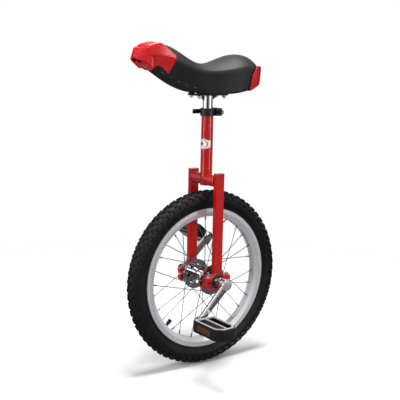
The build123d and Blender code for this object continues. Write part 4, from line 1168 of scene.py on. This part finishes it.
def pedal_wall(inner, outer, half, sign):
    """Outline of the wall round a pedal, open where the spindle enters."""
    outside = pedal_corners(inner, outer, half, sign, 1 * MM)
    inside = pedal_corners(inner, outer, half, sign, 6 * MM)
    gap, near, far = 8.1 * MM, outside[0][1], inside[0][1]
    return [(gap, near), *outside[1:], outside[0], (-gap, near),
            (-gap, far), inside[0], *inside[:0:-1], (gap, far)]


def pedal_windows(inner, outer, half, sign):
    """Two long windows, one each side of the middle rib."""
    near, far = inner + sign * 10 * MM, outer - sign * 9 * MM
    rib, wide, corner = 2.2 * MM, half - 8 * MM, 12 * MM
    for way in (-1, 1):
        yield eased_corners([(way * rib, near), (way * wide, near), (way * wide, far - sign * corner),
                             (way * (wide - corner), far), (way * rib, far)], 2.5 * MM)


def plate_turn(side):
    """How a pedal is tilted about its spindle, from the largest flat of its CAD plates."""
    mesh = merged(f"pedal_plates_{side}")
    flat = max(mesh.polygons, key=lambda face: face.area).normal.copy()
    bpy.data.meshes.remove(mesh)
    if flat.z < 0:
        flat.negate()
    return Matrix.Rotation(atan2(flat.x, flat.z), 4, "Y")


class UNICYCLE_OT_castings(bpy.types.Operator):
    """Holders, clamp and pedal mouldings with their real edge radii"""
    bl_idname = "unicycle.castings"
    bl_label = "Castings and mouldings"

    def execute(self, context):
        for side in ("left", "right"):
            self.pedal(side)
        holders = softened("bearing_housings_cast", 0.8 * MM, 5, "bearing_housings")
        place("bearing_housings_cast", holders, red_enamel, "frame", ("bearing_housings",))
        caps = softened("bearing_caps_cast", 0.8 * MM, 5, "bearing_caps")
        place("bearing_caps_cast", caps, red_enamel, "frame", ("bearing_caps",))
        collar = softened("seat_clamp_forging", 0.6 * MM, 6, "seat_clamp_collar")
        place("seat_clamp_forging", collar, black_enamel, "frame", ("seat_clamp_collar",))
        lever = softened("clamp_lever_forging", 0.5 * MM, 8, "clamp_lever")
        place("clamp_lever_forging", lever, black_enamel, "clamp_lever", ("clamp_lever",))
        return {"FINISHED"}

    def pedal(self, side):
        """A black body with a bezel round each reflector, between two light frames with long windows."""
        sign = 1 if side == "left" else -1
        low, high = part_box(f"pedal_plates_{side}")
        inner, outer = (low.y, high.y) if sign > 0 else (high.y, low.y)
        turn = plate_turn(side)
        stand = Matrix.Translation(Vector((middle(f"pedal_bushes_{side}").x, 0,
                                           middle(f"pedal_bushes_{side}").z))) @ turn
        half, deep, plate = 32 * MM, 15 * MM, 3 * MM
        body, frames = bmesh.new(), bmesh.new()
        wall = eased_corners(pedal_wall(inner, outer, half, sign), 2 * MM)
        body.from_mesh(cut_plate("pedal_wall", (wall,), 2 * deep - 0.8 * MM, 0.8 * MM))
        end, bore, barrel, edge = outer - sign * 1.2 * MM, 8.02 * MM, 11.2 * MM, 0.8 * MM
        profile = [(inner, bore), (inner, barrel - edge), (inner + sign * edge, barrel),
                   (end - sign * edge, barrel), (end, barrel - edge), (end, bore)]
        body.from_mesh(lathe("pedal_barrel", profile, 48, 0.0))
        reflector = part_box(f"pedal_reflectors_{side}")
        reach = (reflector[1].y - reflector[0].y) / 2
        middle_y = (reflector[1].y + reflector[0].y) / 2
        for face in (-1, 1):
            bezel = cut_plate("bezel", (rectangle(9.4 * MM, reach + 2.4 * MM), rectangle(7.5 * MM, reach)),
                              1.9 * MM, 0.4 * MM)
            bezel.transform(Matrix.Translation((face * (half - 0.95 * MM), middle_y, 0))
                            @ Matrix.Rotation(radians(90), 4, "Y"))
            body.from_mesh(bezel)
            rim = eased_corners(pedal_corners(inner, outer, half, sign, 2.0 * MM), 4 * MM)
            sheet = cut_plate("frame", (rim, *pedal_windows(inner, outer, half, sign)), plate, 0.5 * MM)
            sheet.transform(Matrix.Translation((0, 0, face * (deep - plate / 2))))
            frames.from_mesh(sheet)
        for work, name, maker, slot, node in (
                (body, "moulding", black_nylon, "black_plastic", "pedal_body"),
                (frames, "frames", grey_plastic, "grey_plastic", "pedal_plates")):
            bmesh.ops.transform(work, matrix=stand, verts=work.verts)
            bmesh.ops.remove_doubles(work, verts=work.verts, dist=0.01 * MM)
            bmesh.ops.recalc_face_normals(work, faces=work.faces)
            mesh = made_mesh(f"pedal_{side}_{name}", work)
            made = place(f"pedal_{side}_{name}", mesh, maker, f"{side}_pedal", (f"{node}_{side}",))
            made.data.set_sharp_from_angle(angle=radians(35))


CAD_FINISHES = (
    (red_enamel, ("neck_tube", "crown_tubes", "fork_leg_left", "fork_leg_right", "leg_top_caps")),
    (printed_roundel, ("neck_badge",)),
    (machined_rim, ("rim", "rim_joint_sleeve")),
    (drawn_steel, ("spokes", "clamp_skewer")),
    (nickel_brass, ("spoke_nipples",)),
    (chrome, ("hub_barrel", "hub_flanges", "seat_post")),
    (ground_steel, ("axle", "bearing_spacers", "bearing_inner_races", "bearing_outer_races",
                    "bearing_balls_left", "bearing_balls_right", "ball_cage_left", "ball_cage_right",
                    "pedal_spindles", "pedal_bushes_left", "pedal_bushes_right", "clamp_cam_pin")),
    (zinc_plate, ("housing_bolts", "housing_nuts", "crank_nuts", "saddle_fixings", "bumper_screws")),
    (black_enamel, ("clamp_nut", "post_bracket")),
    (black_nylon, ("saddle_base", "post_end_plug", "valve_cap", "pedal_end_cap_left", "pedal_end_cap_right")),
    (amber_lens, ("pedal_reflectors_left", "pedal_reflectors_right")),
    (soft_rubber, ("inner_tube", "valve_stem", "bearing_seals")),
    (tape_rubber, ("rim_tape",)),
)


class UNICYCLE_OT_cad_finishes(bpy.types.Operator):
    """Finishes of the CAD nodes whose shape is right as it is"""
    bl_idname = "unicycle.cad_finishes"
    bl_label = "Finishes of plain parts"

    def execute(self, context):
        for maker, names in CAD_FINISHES:
            for name in names:
                slots = NODES[name].data.materials
                slots.clear()
                slots.append(finish(maker))
        return {"FINISHED"}


def joint_path(centre, radius, steps, toward):
    """Closed path of a weld round a tube's end in the XZ plane at a given Y."""
    path = []
    for step in range(steps + 1):
        angle = tau * step / steps
        out = Vector((sin(angle), 0, cos(angle)))
        path.append((centre + out * radius, (out + Vector((0, toward, 0))).normalized()))
    return path


class UNICYCLE_OT_welds(bpy.types.Operator):
    """Painted weld beads where the crown tubes meet the legs"""
    bl_idname = "unicycle.welds"
    bl_label = "Weld beads"

    def execute(self, context):
        joined = bmesh.new()
        bead = pill("bead", 3.4 * MM, 3.2 * MM, 2.6 * MM)
        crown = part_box("crown_tubes")
        radius = (crown[1].z - crown[0].z) / 2
        for side in (-1, 1):
            centre = Vector((0, side * (crown[1].y - 0.6 * MM), middle("crown_tubes").z))
            path = joint_path(centre, radius, 48, side * -1.0)
            joined.from_mesh(along_tree("crown_weld", path, 1.7 * MM, bead.copy(), weld_steel))
        place("frame_welds", made_mesh("frame_welds", joined), weld_steel, "frame")
        return {"FINISHED"}


# ------------------------------------------------------------ stage

class UNICYCLE_OT_stage(bpy.types.Operator):
    """Pale seamless floor, soft studio lights and the camera"""
    bl_idname = "unicycle.stage"
    bl_label = "Stage"

    def execute(self, context):
        values = settings("stage")
        self.floor()
        self.lights()
        self.world()
        self.camera(context, values)
        return {"FINISHED"}

    def floor(self):
        size = 6.0
        mesh = bpy.data.meshes.new("floor")
        corners = [(*corner, 0) for corner in rectangle(size, size)]
        mesh.from_pydata(corners, [], [(0, 1, 2, 3)])
        floor = bpy.data.objects.new("floor", mesh)
        bpy.context.scene.collection.objects.link(floor)
        mesh.materials.append(finish(floor_paper))

    def lights(self):
        """Soft boxes: name, place, width, height and power in watts; each looks at the middle of the object."""
        boxes = (("key", (1.7, 2.6, 2.5), 1.2, 1.5, 40), ("left strip", (2.6, -0.6, 1.0), 0.25, 2.0, 20),
                 ("right strip", (-1.3, 2.6, 1.0), 0.25, 2.0, 20), ("top", (0.0, 0.15, 2.4), 1.0, 0.8, 60))
        for name, spot, wide, tall, power in boxes:
            light = bpy.data.lights.new(name, "AREA")
            light.shape = "RECTANGLE"
            light.size, light.size_y = wide, tall
            light.energy = power
            holder = bpy.data.objects.new(name, light)
            bpy.context.scene.collection.objects.link(holder)
            holder.location = spot
            holder.rotation_euler = (Vector((0, 0, 0.45)) - holder.location).to_track_quat("-Z", "Y").to_euler()

    def world(self):
        """White backdrop for the eye; polished parts mirror a room with dark walls between bright panels."""
        world = bpy.data.worlds.new("studio")
        world.use_nodes = True
        tree = world.node_tree
        sky = tree.nodes["Background"]
        sky.inputs["Color"].default_value = linear("#ffffff")
        sky.inputs["Strength"].default_value = 1.0
        way = add(tree, "ShaderNodeTexCoord")
        split = add(tree, "ShaderNodeSeparateXYZ", {"Vector": way.outputs["Generated"]})
        turn = add(tree, "ShaderNodeMath", {0: split.outputs["Y"], 1: split.outputs["X"]}, operation="ARCTAN2")
        wave = add(tree, "ShaderNodeMath", {0: turn.outputs[0], 1: 5.0}, operation="MULTIPLY")
        beat = add(tree, "ShaderNodeMath", {0: wave.outputs[0]}, operation="SINE")
        panels = add(tree, "ShaderNodeMapRange", {"Value": beat.outputs[0], "From Min": 0.25, "From Max": 0.5,
                                                  "To Min": 0.03, "To Max": 0.95})
        lift = add(tree, "ShaderNodeMapRange", {"Value": split.outputs["Z"], "From Min": 0.35, "From Max": 0.75,
                                                "To Min": 0.0, "To Max": 0.25})
        total = add(tree, "ShaderNodeMath", {0: panels.outputs[0], 1: lift.outputs[0]}, operation="ADD")
        room = add(tree, "ShaderNodeBackground", {"Color": total.outputs[0], "Strength": 0.75})
        fill = add(tree, "ShaderNodeBackground", {"Strength": 0.34})
        ray = add(tree, "ShaderNodeLightPath")
        lit = add(tree, "ShaderNodeMixShader", {0: ray.outputs["Is Glossy Ray"], 1: fill.outputs[0],
                                                2: room.outputs[0]})
        choice = add(tree, "ShaderNodeMixShader", {0: ray.outputs["Is Camera Ray"], 1: lit.outputs[0],
                                                   2: sky.outputs[0]})
        tree.links.new(choice.outputs[0], tree.nodes["World Output"].inputs["Surface"])
        bpy.context.scene.world = world
        bpy.context.scene.view_settings.view_transform = "Standard"

    def camera(self, context, values):
        eye = Vector(values.eye)
        a, e, roll = values.azimuth, values.elevation, values.roll
        look = Vector((-sin(a) * cos(e), cos(a) * cos(e), -sin(e)))
        right = look.cross(Vector((0, 0, 1))).normalized()
        up = right.cross(look)
        across = right * cos(roll) + up * sin(roll)
        rise = up * cos(roll) - right * sin(roll)
        lens = bpy.data.cameras.new("camera")
        lens.lens = values.lens
        lens.sensor_width = 36.0
        holder = bpy.data.objects.new("camera", lens)
        context.scene.collection.objects.link(holder)
        turn = Matrix((across, rise, -look)).transposed().to_4x4()
        holder.matrix_world = Matrix.Translation(eye) @ turn
        context.scene.camera = holder


# ------------------------------------------------------------ panel and order of work

OPERATORS = (UNICYCLE_OT_stage, UNICYCLE_OT_cad_finishes, UNICYCLE_OT_tyre, UNICYCLE_OT_saddle,
             UNICYCLE_OT_bumpers, UNICYCLE_OT_cranks, UNICYCLE_OT_castings, UNICYCLE_OT_welds)


class UNICYCLE_PT_panel(bpy.types.Panel):
    """Lists the steps that finish the unicycle"""
    bl_idname = "UNICYCLE_PT_panel"
    bl_label = "Unicycle"
    bl_space_type = "VIEW_3D"
    bl_region_type = "UI"
    bl_category = "Unicycle"

    def draw(self, context):
        for operator in OPERATORS:
            self.layout.operator(operator.bl_idname)


def register():
    for group in GROUPS.values():
        bpy.utils.register_class(group)
    for name, group in GROUPS.items():
        setattr(bpy.types.Scene, "unicycle_" + name, bpy.props.PointerProperty(type=group))
    for operator in OPERATORS:
        bpy.utils.register_class(operator)
    bpy.utils.register_class(UNICYCLE_PT_panel)


def unregister():
    bpy.utils.unregister_class(UNICYCLE_PT_panel)
    for operator in reversed(OPERATORS):
        bpy.utils.unregister_class(operator)
    for name, group in GROUPS.items():
        delattr(bpy.types.Scene, "unicycle_" + name)
        bpy.utils.unregister_class(group)


def main():
    register()
    for operator in OPERATORS:
        step = getattr(bpy.ops.unicycle, operator.bl_idname.split(".")[1])
        step()


if __name__ == "__main__":
    main()
